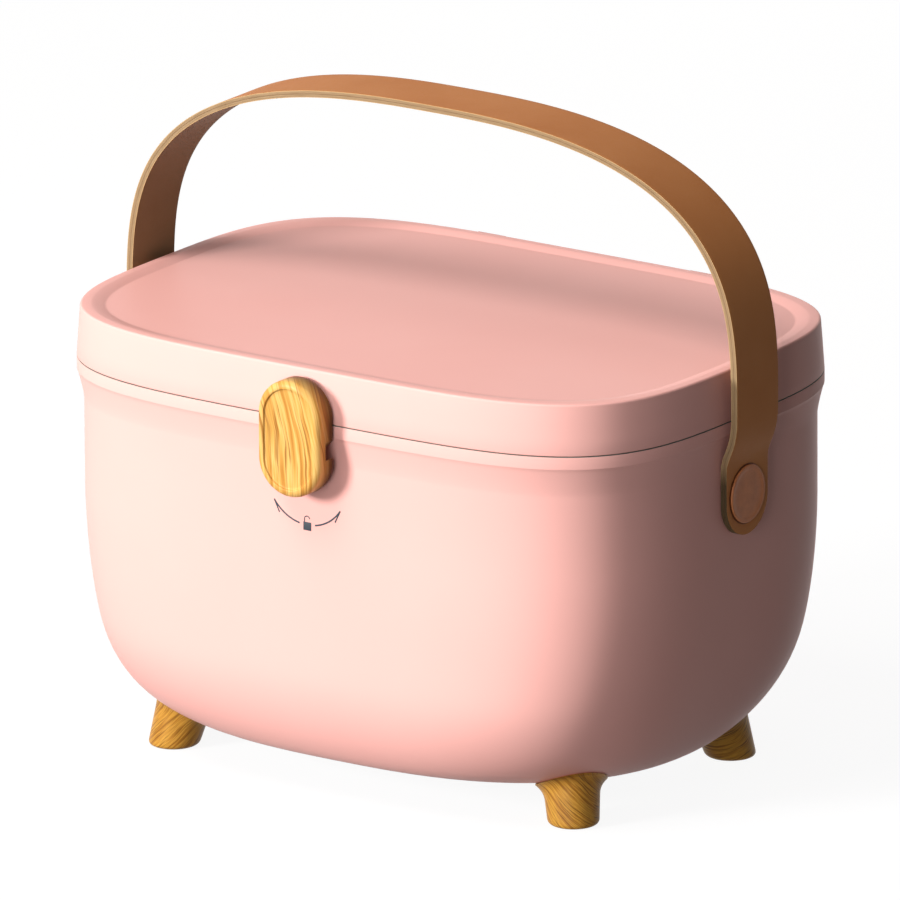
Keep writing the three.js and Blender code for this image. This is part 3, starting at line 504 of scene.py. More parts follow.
def make_lid():
    def at(z, inset):
        return superellipse(z, BOX_HALF_LENGTH - inset, BOX_HALF_WIDTH - inset)

    panel = LID_TOP - PANEL_RECESS
    roof = panel - LID_ROOF
    rings = [
        at(roof - ROOF_FILLET * down, LID_WALL + ROOF_FILLET * (1 - out))
        for down, out in quarter(5)
    ]
    rings += [
        at(LID_BOTTOM + 2.5 * MM, LID_WALL + 0.1 * MM),
        at(LID_BOTTOM + 1.2 * MM, COLLAR_INSIDE),
        at(LID_BOTTOM - COLLAR_DEPTH + COLLAR_ROUND, COLLAR_INSIDE),
        at(LID_BOTTOM - COLLAR_DEPTH, COLLAR_INSIDE - COLLAR_ROUND),
        at(LID_BOTTOM - COLLAR_DEPTH, COLLAR_OUTSIDE + COLLAR_ROUND),
        at(LID_BOTTOM - COLLAR_DEPTH + COLLAR_ROUND, COLLAR_OUTSIDE),
        at(LID_BOTTOM, COLLAR_OUTSIDE),
    ]
    rings += [
        at(LID_BOTTOM + LID_LOWER_ROUND * up, -LID_FLARE + LID_LOWER_ROUND * (1 - out))
        for up, out in quarter(3)
    ]
    height = LID_TOP - LID_BOTTOM
    for share in (0.3, 0.6):
        rings.append(at(LID_BOTTOM + height * share, -LID_FLARE * (1 - share)))
    rings += [
        at(LID_TOP - LID_EDGE_ROUND * (1 - up), LID_EDGE_ROUND * inward)
        for inward, up in quarter(6)
    ]
    rings.append(at(LID_TOP, RIM_WIDTH - 0.4 * MM))
    for i in range(SLOPE_RINGS + 1):
        share = i / SLOPE_RINGS
        down = 0.7 * share + 0.3 * share ** 2
        rings.append(at(panel + PANEL_RECESS * (1 - down), RIM_WIDTH + PANEL_SLOPE * share))
    rings.append(at(panel, RIM_WIDTH + PANEL_SLOPE + 0.6 * MM))
    for share in (0.85, 0.6, 0.3):
        rings.append(superellipse(panel, BOX_HALF_LENGTH * share, BOX_HALF_WIDTH * share))
    return grow_rings("lid_shell", rings, PLAN_STEPS)


def cut_lid_front(lid):
    """The notch in the collar for the latch's washer, and the hole for its shaft."""
    half = COLLAR_NOTCH / 2
    inner = -(BOX_HALF_WIDTH - LID_WALL)
    back = inner + COLLAR_NOTCH_DEPTH
    bottom = LID_BOTTOM - CUT_BELOW_LID
    for front, top in ((inner, COLLAR_NOTCH_TOP), (CUT_FRONT_Y, LID_BOTTOM)):
        join_solid(lid, block("notch", (-half, front, bottom), (half, back, top)), "DIFFERENCE")
    hole = rod(
        "hole", "Y", LATCH_SHAFT_RADIUS + TOUCH_GAP,
        (0, SHAFT_HOLE_FRONT_Y, LATCH_PIVOT_Z), (0, inner + 2 * MM, LATCH_PIVOT_Z),
    )
    return join_solid(lid, hole, "DIFFERENCE")


# Tray

def make_tray():
    def at(z, inset):
        return superellipse(z, TUB_HALF_LENGTH - inset, TUB_HALF_WIDTH - inset)

    def bowl(bottom, inset):
        return [
            at(bottom + TRAY_FLOOR_ROUND * up, inset + TRAY_DRAFT + TRAY_FLOOR_ROUND * (1 - out))
            for up, out in quarter(5)
        ]

    flange_bottom = TRAY_TOP - TRAY_FLANGE
    rim = TRAY_FLANGE_INSET
    rings = bowl(TRAY_BOTTOM, TRAY_INSET)
    rings += [
        at(flange_bottom, TRAY_INSET),
        at(flange_bottom, rim + 0.4 * MM),
        at(flange_bottom + 0.4 * MM, rim),
        at(TRAY_TOP - 0.5 * MM, rim),
        at(TRAY_TOP, rim + 0.5 * MM),
    ]
    tray = grow_rings("tray_shell", rings, TRAY_STEPS)
    inner = TRAY_INSET + TRAY_WALL
    cells = bowl(TRAY_BOTTOM + TRAY_FLOOR, inner)
    cells += [
        at(TRAY_TOP - TRAY_CELL_LIP, inner),
        at(TRAY_TOP + 0.2 * MM, inner - TRAY_CELL_LIP),
        at(TRAY_TOP + 3 * MM, inner - TRAY_CELL_LIP),
    ]
    hollow = grow_rings("cells", cells, TRAY_STEPS)
    half = DIVIDER_HALF_THICKNESS
    column = (TUB_HALF_LENGTH - inner) / 3
    reach_x, reach_y = DIVIDER_REACH
    spans = [((-reach_x, -half), (reach_x, half))]
    for x in (-column, column):
        spans.append(((x - half, -reach_y), (x + half, reach_y)))
    dividers = None
    for low, high in spans:
        wall = block("divider", (*low, TRAY_BOTTOM - MM), (*high, TRAY_TOP - DIVIDER_DROP))
        dividers = wall if dividers is None else join_solid(dividers, wall)
    join_solid(hollow, round_edges(dividers, DIVIDER_EDGE, 3, 60), "DIFFERENCE")
    return join_solid(tray, hollow, "DIFFERENCE")


# Feet: a trumpet that follows the curve of the tub's underside

def make_foot(name, sx, sy):
    def axis_at(z):
        lean = FOOT_SPLAY * z / TUB_BOTTOM
        return sx * (FOOT_X - lean), sy * (FOOT_Y - lean)

    def around(centre, radius, turn):
        return centre[0] + radius * math.cos(turn), centre[1] + radius * math.sin(turn)

    def top_at(turn, radius):
        x, y = around(axis_at(TUB_BOTTOM), radius, turn)
        return Vector((x, y, tub_underside(x, y) - TOUCH_GAP))

    def on_axis(turn, radius, z):
        return Vector((*around(axis_at(z), radius, turn), z))

    def body_radius(z):
        return FOOT_BOTTOM_RADIUS + (FOOT_WAIST_RADIUS - FOOT_BOTTOM_RADIUS) * z / TUB_BOTTOM

    def recess(radius, z):
        centre = sx * (FOOT_X - FOOT_SPLAY / 2), sy * (FOOT_Y - FOOT_SPLAY / 2)
        return lambda turn: Vector((*around(centre, radius, turn), z))

    rings = [
        recess(FOOT_RECESS_RADIUS, FOOT_RECESS_DEPTH),
        recess(FOOT_RECESS_RADIUS, FOOT_RECESS_CHAMFER),
        recess(FOOT_RECESS_RADIUS + FOOT_RECESS_CHAMFER, 0.0),
    ]
    for out, up in quarter(5):
        inset = FOOT_EDGE_ROUND * (1 - up)
        z = FOOT_EDGE_ROUND * out
        rings.append(lambda turn, inset=inset, z=z: on_axis(turn, body_radius(z) - inset, z))
    for i in range(1, FOOT_WALL_RINGS + 1):
        def wall(turn, share=i / FOOT_WALL_RINGS):
            # From above the base's round up to the underside of the flange's edge
            top = top_at(turn, FOOT_FLANGE_RADIUS).z - FOOT_FLANGE_EDGE
            z = FOOT_EDGE_ROUND + (top - FOOT_EDGE_ROUND) * (1 - (1 - share) ** FOOT_WALL_POWER)
            up = min(max((z - top + FOOT_FLARE_HEIGHT) / FOOT_FLARE_HEIGHT, 0), 1)
            flare = (FOOT_FLANGE_RADIUS - body_radius(z)) * up ** FOOT_FLARE_POWER
            return on_axis(turn, body_radius(z) + flare, z)
        rings.append(wall)
    below = Vector((0, 0, FOOT_FLANGE_EDGE * 0.35))
    rings.append(lambda turn: top_at(turn, FOOT_FLANGE_RADIUS) - below)
    rings.append(lambda turn: top_at(turn, FOOT_FLANGE_RADIUS - 0.3 * MM))
    for share in (0.8, 0.55, 0.3):
        rings.append(lambda turn, share=share: top_at(turn, FOOT_FLANGE_RADIUS * share))
    foot = grow_rings(name, rings, FOOT_STEPS)
    wrap_print(foot, axis_at, sx, sy)
    return foot


def wrap_print(foot, axis_at, sx, sy):
    """Lays the printed film round a foot: across is the way round it, up is the height.
    Its middle faces the box's corner, and the feet mirror each other."""
    mesh = foot.data
    film = only_map(mesh, "film")
    corner = math.atan2(sy, sx)
    for polygon in mesh.polygons:
        spots = []
        for index in polygon.vertices:
            co = mesh.vertices[index].co
            cx, cy = axis_at(co.z)
            turn = math.atan2(co.y - cy, co.x - cx) - corner
            spots.append([(turn + math.pi) % TAU - math.pi, co.z, co.x - cx, co.y - cy])
        if max(spot[0] for spot in spots) - min(spot[0] for spot in spots) > math.pi:
            for spot in spots:
                spot[0] += TAU if spot[0] < 0 else 0
        for loop, (turn, z, x, y) in zip(polygon.loop_indices, spots):
            if polygon.normal.z < -0.8:
                film.data[loop].uv = (x, y)
            else:
                film.data[loop].uv = (-sx * sy * turn * FOOT_WAIST_RADIUS, z)


# Latch: a stadium knob with a rounded rim and a shallow dish

def stadium_ring(y, inset):
    radius = LATCH_RADIUS - inset
    upper = LATCH_TOP - LATCH_RADIUS
    lower = LATCH_TOP - LATCH_LENGTH + LATCH_RADIUS
    arc = LATCH_ARC_STEPS / LATCH_STEPS

    def ring(turn):
        share = turn / TAU
        # Each half is a round end and then the straight side that follows it
        half, along = (1, share) if share < 0.5 else (-1, share - 0.5)
        start, end = (upper, lower) if half > 0 else (lower, upper)
        if along <= arc:
            angle = along / arc * math.pi
            out, up = half * radius * math.cos(angle), half * radius * math.sin(angle)
            return Vector((out, y, start + up))
        return Vector((-half * radius, y, start + (end - start) * (along - arc) / (0.5 - arc)))
    return ring


def make_latch():
    back, front = LATCH_BACK, LATCH_BACK - LATCH_THICKNESS
    rings = [
        stadium_ring(back, LATCH_BACK_ROUND),
        stadium_ring(back - 0.15 * MM, 0.15 * MM),
        stadium_ring(back - LATCH_BACK_ROUND, 0.0),
        stadium_ring(back - 4 * MM, 0.0),
    ]
    rings += [
        stadium_ring(front + LATCH_ROUND * (1 - out), LATCH_ROUND * inward)
        for inward, out in quarter(8)
    ]
    lip = LATCH_LIP_ROUND
    rings += [
        stadium_ring(front + lip * back_by, LATCH_RIM - lip + lip * inward)
        for back_by, inward in quarter(4)
    ]
    cove = LATCH_DISH - lip
    rings += [
        stadium_ring(front + lip + cove * back_by, LATCH_RIM + cove * inward)
        for inward, back_by in quarter(4)[1:]
    ]
    for share in (0.7, 0.45, 0.2):
        rings.append(stadium_ring(front + LATCH_DISH, LATCH_RADIUS * (1 - share)))
    knob = grow_rings("latch_knob_dished", rings, LATCH_STEPS, poles=False)
    shaft = rod(
        "shaft", "Y", LATCH_SHAFT_RADIUS,
        (0, back - 2 * MM, LATCH_PIVOT_Z), (0, LATCH_SHAFT_END, LATCH_PIVOT_Z),
    )
    join_solid(knob, shaft)
    return join_solid(knob, make_channel(), "DIFFERENCE")


def make_channel():
    """The arc channel's space: a rectangle spun half round the pivot, below it."""
    depth = CHANNEL_DEPTH + MM
    bpy.ops.mesh.primitive_plane_add(size=1)
    cutter = added("channel")
    for vert in cutter.data.vertices:
        across = math.copysign(CHANNEL_HALF_WIDTH, vert.co.x)
        y = LATCH_BACK + MM - (depth if vert.co.y > 0 else 0)
        vert.co = (CHANNEL_RADIUS + across, y, LATCH_PIVOT_Z)
    bpy.ops.object.mode_set(mode="EDIT")
    bpy.ops.mesh.select_all(action="SELECT")
    bpy.ops.mesh.spin(steps=48, angle=-math.pi, center=(0, 0, LATCH_PIVOT_Z), axis=(0, 1, 0))
    bpy.ops.mesh.select_all(action="SELECT")
    bpy.ops.mesh.normals_make_consistent(inside=False)
    bpy.ops.object.mode_set(mode="OBJECT")
    return cutter


# Strap: two laminated layers of leather along one path

def bow_point(t):
    """The bend between a leg and the arch, a cubic curve."""
    height = STRAP_ARCH_FOOT - STRAP_BEND_Z
    zs = (
        STRAP_BEND_Z, STRAP_BEND_Z + STRAP_BOW_SHARES[0] * height,
        STRAP_ARCH_FOOT - STRAP_BOW_SHARES[1] * height, STRAP_ARCH_FOOT,
    )
    xs = (STRAP_LEG_X, STRAP_LEG_X, STRAP_ARCH_HALF_SPAN, STRAP_ARCH_HALF_SPAN)
    weights = ((1 - t) ** 3, 3 * (1 - t) ** 2 * t, 3 * (1 - t) * t ** 2, t ** 3)
    return sum(w * x for w, x in zip(weights, xs)), sum(w * z for w, z in zip(weights, zs))


def crown_point(t):
    """A quarter of the arch from its foot to its top, a superellipse."""
    angle = t * math.pi / 2
    x = STRAP_ARCH_HALF_SPAN * max(math.cos(angle), 0) ** (2 / STRAP_SPAN_POWER)
    z = STRAP_ARCH_RISE * math.sin(angle) ** (2 / STRAP_RISE_POWER)
    return x, STRAP_ARCH_FOOT + z


def strap_track():
    """The strap's middle line from left to right: points, and the length up to each."""
    half = [(STRAP_LEG_X, RIVET_HEIGHT - STRAP_END_BELOW_RIVET), (STRAP_LEG_X, STRAP_BEND_Z)]
    half += [bow_point(i / BOW_STEPS) for i in range(1, BOW_STEPS + 1)]
    half += [crown_point(i / CROWN_STEPS) for i in range(1, CROWN_STEPS + 1)]
    points = [(-x, z) for x, z in half] + half[-2::-1]
    lengths = [0.0]
    for (xa, za), (xb, zb) in zip(points, points[1:]):
        lengths.append(lengths[-1] + math.hypot(xb - xa, zb - za))
    return points, lengths


def track_place(track, distance):
    """Point and outward normal of the strap's middle line at a distance along it."""
    points, lengths = track

    def at(d):
        d = min(max(d, 0.0), lengths[-1])
        high = bisect.bisect_right(lengths, d, 1, len(lengths) - 1)
        low = high - 1
        share = (d - lengths[low]) / (lengths[high] - lengths[low])
        return [a + (b - a) * share for a, b in zip(points[low], points[high])]

    reach = 0.6 * MM
    (xa, za), (xb, zb) = at(distance - reach), at(distance + reach)
    size = math.hypot(xb - xa, zb - za)
    x, z = at(distance)
    return Vector((x, 0, z)), Vector((-(zb - za) / size, 0, (xb - xa) / size))


def strap_layer(name, track, middle, thickness):
    """One layer: a flat round-ended slab with softened edges, then laid along the track."""
    total = track[1][-1]
    straight = total / 2 - STRAP_HALF_WIDTH
    end_steps = STRAP_END_STEPS
    columns = STRAP_STEPS + 2 * end_steps
    bpy.ops.mesh.primitive_grid_add(
        x_subdivisions=columns, y_subdivisions=STRAP_ACROSS_STEPS, size=2
    )
    layer = added(name)
    for vert in layer.data.vertices:
        i = round((vert.co.x + 1) / 2 * columns)
        v = vert.co.y
        k = min(i, columns - i)
        if k < end_steps:
            angle = (1 - k / end_steps) * math.pi / 2
            width = STRAP_HALF_WIDTH * math.cos(angle)
            x = math.copysign(straight + STRAP_HALF_WIDTH * math.sin(angle), i - end_steps)
        else:
            x = -straight + 2 * straight * (i - end_steps) / STRAP_STEPS
            width = STRAP_HALF_WIDTH
        vert.co = (x, v * width, middle)
    bpy.ops.object.mode_set(mode="EDIT")
    bpy.ops.mesh.select_all(action="SELECT")
    bpy.ops.mesh.remove_doubles(threshold=0.01 * MM)
    bpy.ops.object.mode_set(mode="OBJECT")
    modify(layer, "SOLIDIFY", thickness=thickness, offset=0, use_even_offset=True)
    round_edges(layer, STRAP_EDGE_ROUND, 3, 60)
    mesh = layer.data
    flat = only_map(mesh, "flat_leather")
    for loop in mesh.loops:
        co = mesh.vertices[loop.vertex_index].co
        flat.data[loop.index].uv = (co.x, co.y + co.z)
    for vert in mesh.vertices:
        s, v, h = vert.co
        point, outward = track_place(track, s + total / 2)
        from_rivet = math.hypot(abs(s) - (total / 2 - STRAP_END_BELOW_RIVET), v)
        near = (STRAP_PRESSED_RADIUS - from_rivet) / STRAP_PRESSED_FADE
        pressed = STRAP_PRESSED * min(max(near, 0), 1) ** 2
        if h < 0:
            pressed = 0.0
        # The outward normal points away from the box all along the track
        vert.co = point + outward * (h - pressed) + Vector((0, v, 0))
    return layer


def make_strap():
    track = strap_track()
    thickness = STRAP_THICKNESS / 2 - STRAP_GLUE_GAP
    return [
        strap_layer(name, track, side * STRAP_THICKNESS / 4, thickness)
        for name, side in (("strap_outer_leather", 1), ("strap_lining_leather", -1))
    ]


# Rivets

def make_rivet_cap(name, side):
    """A shank and a low wide cap, with a step near the cap's rim."""
    seat, radius = RIVET_CAP_SEAT, RIVET_CAP_RADIUS
    top = seat + RIVET_CAP_THICKNESS
    profile = [
        (RIVET_SHANK_RADIUS, TUB_HALF_LENGTH - TUB_WALL), (RIVET_SHANK_RADIUS, seat),
        (radius - RIVET_CAP_CHAMFER, seat), (radius, seat + RIVET_CAP_CHAMFER),
    ]
    profile += [
        (radius - RIVET_CAP_ROUND * inward, top - RIVET_CAP_ROUND * (1 - out))
        for inward, out in quarter(5)
    ]
    profile += [(radius - inward, top - down) for inward, down in RIVET_CAP_STEP]
    profile += [(radius * share, top - down) for share, down in RIVET_CAP_FACE]
    return spin_profile(name, profile, (0, 0, RIVET_HEIGHT), (side, 0, 0), 96)


# Turn mark: a double-ended curved arrow with an open padlock, printed under the latch

def printed(name, points, width):
    """A line of print: a poly curve with a round section, pressed flat on the front wall."""
    curve = bpy.data.curves.new(name, "CURVE")
    curve.dimensions = "3D"
    spline = curve.splines.new("POLY")
    spline.points.add(len(points) - 1)
    for point, (x, z) in zip(spline.points, points):
        point.co = (x, 0, z, 1)
    curve.bevel_depth = width / 2
    curve.bevel_resolution = 2
    curve.use_fill_caps = True
    line = bpy.data.objects.new(name, curve)
    bpy.context.collection.objects.link(line)
    take(line)
    bpy.ops.object.convert(target="MESH")
    line = added(name)
    for vert in line.data.vertices:
        vert.co.y = -TUB_HALF_WIDTH + vert.co.y * PRINT_FLATTENING - PRINT_OFFSET
    return line


def make_turn_mark():
    radius, (first, last) = MARK_RADIUS, MARK_ANGLES
    lines = []
    for side in (-1, 1):
        angles = [math.radians(first + (last - first) * i / 16) for i in range(17)]
        arc = [(side * radius * math.sin(a), MARK_CENTRE_Z - radius * math.cos(a)) for a in angles]
        barb = [arc[-1], (side * MARK_BARB[0], MARK_BARB[1])]
        lines.append(printed(f"turn_mark_arc_{side}", arc, MARK_STROKE))
        lines.append(printed(f"turn_mark_barb_{side}", barb, MARK_STROKE * 0.85))
    shackle = [SHACKLE_FOOT]
    x, z = SHACKLE_CENTRE
    for i in range(13):
        a = math.pi * (1.08 - 1.02 * i / 12)
        shackle.append((x + SHACKLE_RADIUS * math.cos(a), z + SHACKLE_RADIUS * math.sin(a)))
    lines.append(printed("turn_mark_shackle", shackle, SHACKLE_STROKE))
    body = block(
        "turn_mark_lock", (-PADLOCK_HALF_WIDTH, -TUB_HALF_WIDTH - PRINT_DEPTH, PADLOCK_BOTTOM),
        (PADLOCK_HALF_WIDTH, -TUB_HALF_WIDTH + PRINT_OFFSET, PADLOCK_TOP),
    )
    round_edges(body, 0.3 * MM, 3, 60)
    take(body)
    for line in lines:
        line.select_set(True)
    bpy.ops.object.join()
    return added("turn_mark")


# Materials

class Wire:
    """A socket of a material's nodes that takes part in sums."""

    def __init__(self, finish, socket):
        self.finish = finish
        self.socket = socket

    def _math(self, operation, other=0.0, swap=False, clamp=False):
        pair = (other, self) if swap else (self, other)
        settings = {"operation": operation, "use_clamp": clamp}
        return self.finish.node("ShaderNodeMath", settings, dict(enumerate(pair)))

    def __add__(self, other):
        return self._math("ADD", other)

    def __mul__(self, other):
        return self._math("MULTIPLY", other)

    def __sub__(self, other):
        return self._math("SUBTRACT", other)

    def __rsub__(self, other):
        return self._math("SUBTRACT", other, swap=True)

    def __truediv__(self, other):
        return self._math("DIVIDE", other)

    def __pow__(self, other):
        return self._math("POWER", other)

    def size(self):
        return self._math("ABSOLUTE")

    def clamp(self):
        return self._math("ADD", clamp=True)


class Finish:
    """A material under construction."""

    def __init__(self, name):
        self.material = bpy.data.materials.new(name)
        self.material.use_nodes = True
        self.tree = self.material.node_tree
        self.shader = self.tree.nodes["Principled BSDF"]

    def node(self, kind, settings=None, values=None, output=0):
        made = self.tree.nodes.new(kind)
        for key, value in (settings or {}).items():
            if key == "stops":
                ramp = made.color_ramp
                while len(ramp.elements) < len(value):
                    ramp.elements.new(0.5)
                for element, (place, colour) in zip(ramp.elements, value):
                    element.position = place
                    element.color = colour
            else:
                setattr(made, key, value)
        for key, value in (values or {}).items():
            self.feed(made.inputs[key], value)
        return Wire(self, made.outputs[output])

    def feed(self, socket, value):
        if isinstance(value, Wire):
            self.tree.links.new(value.socket, socket)
        else:
            socket.default_value = value

    def surface(self, **values):
        """Feeds the shader and hands over the material."""
        for key, value in values.items():
            self.feed(self.shader.inputs[key.replace("_", " ")], value)
        return self.material

    def place(self, scale=(1, 1, 1), uv=False):
        """Object or flat coordinates, stretched."""
        source = self.node("ShaderNodeTexCoord", None, None, "UV" if uv else "Object")
        return self.node("ShaderNodeMapping", None, {"Vector": source, "Scale": scale})

    def noise(self, where, scale, detail, roughness=0.5):
        return self.node(
            "ShaderNodeTexNoise", None,
            {"Vector": where, "Scale": scale, "Detail": detail, "Roughness": roughness}, "Fac",
        )

    def mix(self, factor, first, second, blend="MIX"):
        return self.node(
            "ShaderNodeMix", {"data_type": "RGBA", "blend_type": blend},
            {0: factor, 6: first, 7: second}, 2,
        )

    def vector(self, x, y, z):
        return self.node("ShaderNodeCombineXYZ", None, {0: x, 1: y, 2: z})

    def axes(self, where):
        split = self.tree.nodes.new("ShaderNodeSeparateXYZ")
        self.feed(split.inputs[0], where)
        return [Wire(self, out) for out in split.outputs]

    def bump(self, height, distance, strength):
        return self.node(
            "ShaderNodeBump", None,
            {"Height": height, "Distance": distance, "Strength": strength}, "Normal",
        )


def rgb(red, green, blue):
    """A colour as written in 0 to 255 steps, made linear, with full alpha."""
    def linear(value):
        value /= 255
        return value / 12.92 if value <= 0.04045 else ((value + 0.055) / 1.055) ** 2.4
    return (linear(red), linear(green), linear(blue), 1.0)


def moulded_plastic(name, colour, shade, roughness, seam=None):
    """Satin moulded plastic with a fine spark-eroded texture and faint flow marks. The
    outer edges at the seam's height carry a painted grey line of shade for the gap."""
    finish = Finish(name)
    where = finish.place()
    cloud = finish.noise(where, 14, 2)
    grain = finish.noise(where, 1900, 2, 0.6)
    base = finish.mix((cloud - 0.35) * 1.6, colour, shade)
    if seam:
        x, y, z = finish.axes(where)
        # Painted shade: a grey band at the seam's height on the outer edges, standing in for the
        # shadow in the gap between lid and tub
        painted_seam_shade = (2.0 - (z - seam).size() / (0.2 * MM)).clamp()
        # The plan is 1 on the outline at the seam
        plan = (x.size() / (BOX_HALF_LENGTH + LID_FLARE)) ** LENGTH_POWER
        plan = plan + (y.size() / (BOX_HALF_WIDTH + LID_FLARE)) ** WIDTH_POWER
        outer = ((plan - 0.962) / 0.02).clamp()
        base = finish.mix(painted_seam_shade * outer, base, rgb(124, 136, 126))
    return finish.surface(
        Base_Color=base,
        Roughness=cloud * 0.1 + grain * 0.06 + (roughness - 0.08),
        Normal=finish.bump(grain, 0.02 * MM, 0.35),
        Specular_IOR_Level=0.12,
    )


def wood_film(finish, across, along, fineness, tones, painted_shade=None):
    """Flowing grain in a printed film: broad bands, thin dark lines and fine fibres that
    keep to lines of equal across. The tones run from the palest to the darkest, and the
    share given by painted_shade is darkened as painted shade."""
    def streaks(place, stretch, offset, scale, detail, roughness):
        where = finish.vector(place, along * stretch, offset)
        return finish.noise(where, fineness * scale, detail, roughness)

    drift = streaks(across, 0.5, 0.0, 0.22, 2, 0.5)
    bent = across + (drift - 0.5) * (1.6 / fineness)
    bands = streaks(bent, 0.05, 0.0, 1.0, 3, 0.55)
    lines = streaks(bent, 0.035, 0.3, 2.6, 2, 0.5)
    fibres = streaks(bent, 0.03, 0.7, 7.0, 3, 0.6)
    pale, warm, brown, dark = tones
    body = finish.node("ShaderNodeValToRGB", {"stops": [
        (0.32, brown), (0.42, warm), (0.52, pale), (0.6, warm), (0.7, brown),
    ]}, {0: bands})
    line = ((0.46 - lines) * 7.0).clamp()
    grain = finish.mix(line * 0.8, body, dark)
    grain = finish.mix(((fibres - 0.5) * 2.2).clamp() * 0.6, grain, brown)
    if painted_shade:
        # Painted shade multiplied into the grain where the mask is up
        grain = finish.mix(painted_shade, grain, rgb(122, 108, 34), "MULTIPLY")
    return finish.surface(
        Base_Color=grain,
        Roughness=fibres * 0.14 + 0.34,
        Normal=finish.bump(fibres, 0.03 * MM, 0.3),
        Specular_IOR_Level=0.2,
    )


def latch_grain(name):
    """Long lines that lean at the top of the latch and run straight at its foot. The sides
    get painted shade, darker towards the back."""
    finish = Finish(name)
    x, y, z = finish.axes(finish.place())
    height = (z - (LATCH_TOP - LATCH_LENGTH)) / LATCH_LENGTH
    across = x + height * height * (9 * MM) + y * 0.8
    tones = [rgb(232, 188, 110), rgb(216, 161, 78), rgb(190, 129, 52), rgb(144, 90, 28)]
    # Painted shade: the knob's sides darken towards the back, where the wall behind shades them
    depth = ((y - (LATCH_BACK - LATCH_THICKNESS + 2.8 * MM)) / (6 * MM)).clamp()
    return wood_film(finish, across, z, 300.0, tones, depth)


def foot_grain(name):
    """Close lines on arcs about a point up and aside of each foot."""
    finish = Finish(name)
    s, t, _ = finish.axes(finish.place(uv=True))
    aside, up = s - 30 * MM, t - 45 * MM
    across = (aside * aside + up * up) ** 0.5
    tones = [rgb(210, 156, 62), rgb(184, 126, 44), rgb(150, 98, 28), rgb(92, 56, 14)]
    return wood_film(finish, across, s * 0.8 - t * 0.6, 700.0, tones)


def smooth_leather(name, colour, shade):
    """Finished leather: fine pebble grain, soft mottling, a dull sheen, and a dark ring of
    painted shade round the rivet caps."""
    finish = Finish(name)
    where = finish.place(uv=True)
    mottle = finish.noise(where, 26, 3, 0.55)
    pebble = finish.node(
        "ShaderNodeTexVoronoi", {"feature": "SMOOTH_F1"},
        {"Vector": where, "Scale": 1150.0, "Smoothness": 0.6}, "Distance",
    )
    crease = finish.noise(finish.place(scale=(1, 0.25, 1), uv=True), 420, 3, 0.6)
    _, y, z = finish.axes(finish.place())
    up = z - RIVET_HEIGHT
    from_rivet = (y * y + up * up) ** 0.5
    # Painted shade: a dark ring on the leather at each rivet cap's rim, for the shadow at the
    # cap's edge
    ring = (1.3 - (from_rivet - (RIVET_CAP_RADIUS + 0.1 * MM)).size() / (0.6 * MM)).clamp()
    face = finish.mix((mottle - 0.3) * 1.3, colour, shade)
    return finish.surface(
        Base_Color=finish.mix(ring * 0.85, face, rgb(84, 48, 28)),
        Roughness=mottle * 0.12 + pebble * 0.1 + 0.5,
        Normal=finish.bump(pebble * 0.7 + crease * 0.6, 0.05 * MM, 0.4),
        Specular_IOR_Level=0.22,
    )


def raw_edge(name):
    """The cut edge of the strap: two layers with a dark glue line between them, fibres
    along it, paler burnished corners, and painted shade below the bend."""
    finish = Finish(name)
    fibre = finish.noise(finish.place(scale=(0.06, 1, 1), uv=True), 2100, 3, 0.6)
    stain = finish.noise(finish.place(scale=(0.3, 1, 1), uv=True), 60, 2)
    _, across, _ = finish.axes(finish.place(uv=True))
    from_glue = (across.size() - STRAP_HALF_WIDTH).size()
    glue = (1.0 - from_glue / (0.22 * MM)).clamp()
    corner = ((from_glue - 1.15 * MM) / (0.25 * MM)).clamp()
    _, _, z = finish.axes(finish.place())
    # Painted shade on the cut edge below the bend, where the box shades it
    shaded = ((STRAP_BEND_Z + 3 * MM - z) / (9 * MM)).clamp()
    base = finish.mix((fibre - 0.25) * 1.5, rgb(166, 140, 106), rgb(128, 102, 70))
    base = finish.mix(((stain - 0.4) * 1.2).clamp(), base, rgb(150, 120, 86))
    base = finish.mix(corner * 0.75, base, rgb(204, 168, 118))
    base = finish.mix(shaded * 0.9, base, rgb(66, 54, 34))
    return finish.surface(
        Base_Color=finish.mix(glue * 0.6, base, rgb(104, 74, 50)),
        Roughness=fibre * 0.2 + 0.6,
        Normal=finish.bump(fibre, 0.06 * MM, 0.4),
        Specular_IOR_Level=0.15,
    )


def cap_plastic(name):
    """The rivet cap's brown plastic, softly mottled."""
    finish = Finish(name)
    where = finish.place()
    mottle = finish.noise(where, 160, 4, 0.6)
    grain = finish.noise(where, 1600, 2)
    return finish.surface(
        Base_Color=finish.mix((mottle - 0.3) * 1.5, rgb(208, 129, 80), rgb(170, 100, 58)),
        Roughness=grain * 0.12 + 0.42,
        Normal=finish.bump(grain, 0.03 * MM, 0.4),
        Specular_IOR_Level=0.3,
    )


def plated_steel(name):
    finish = Finish(name)
    brushed = finish.noise(finish.place(scale=(0.2, 1, 1)), 1400, 3)
    cloud = finish.noise(finish.place(), 220, 2)
    return finish.surface(
        Base_Color=finish.mix(cloud, rgb(206, 208, 210), rgb(182, 184, 188)),
        Metallic=1.0,
        Roughness=brushed * 0.2 + 0.2,
        Normal=finish.bump(brushed, 0.02 * MM, 0.3),
    )


def print_ink(name):
    finish = Finish(name)
    speckle = finish.noise(finish.place(), 2600, 2)
    return finish.surface(
        Base_Color=finish.mix(speckle, rgb(34, 45, 54), rgb(46, 57, 66)),
        Roughness=speckle * 0.1 + 0.45,
    )


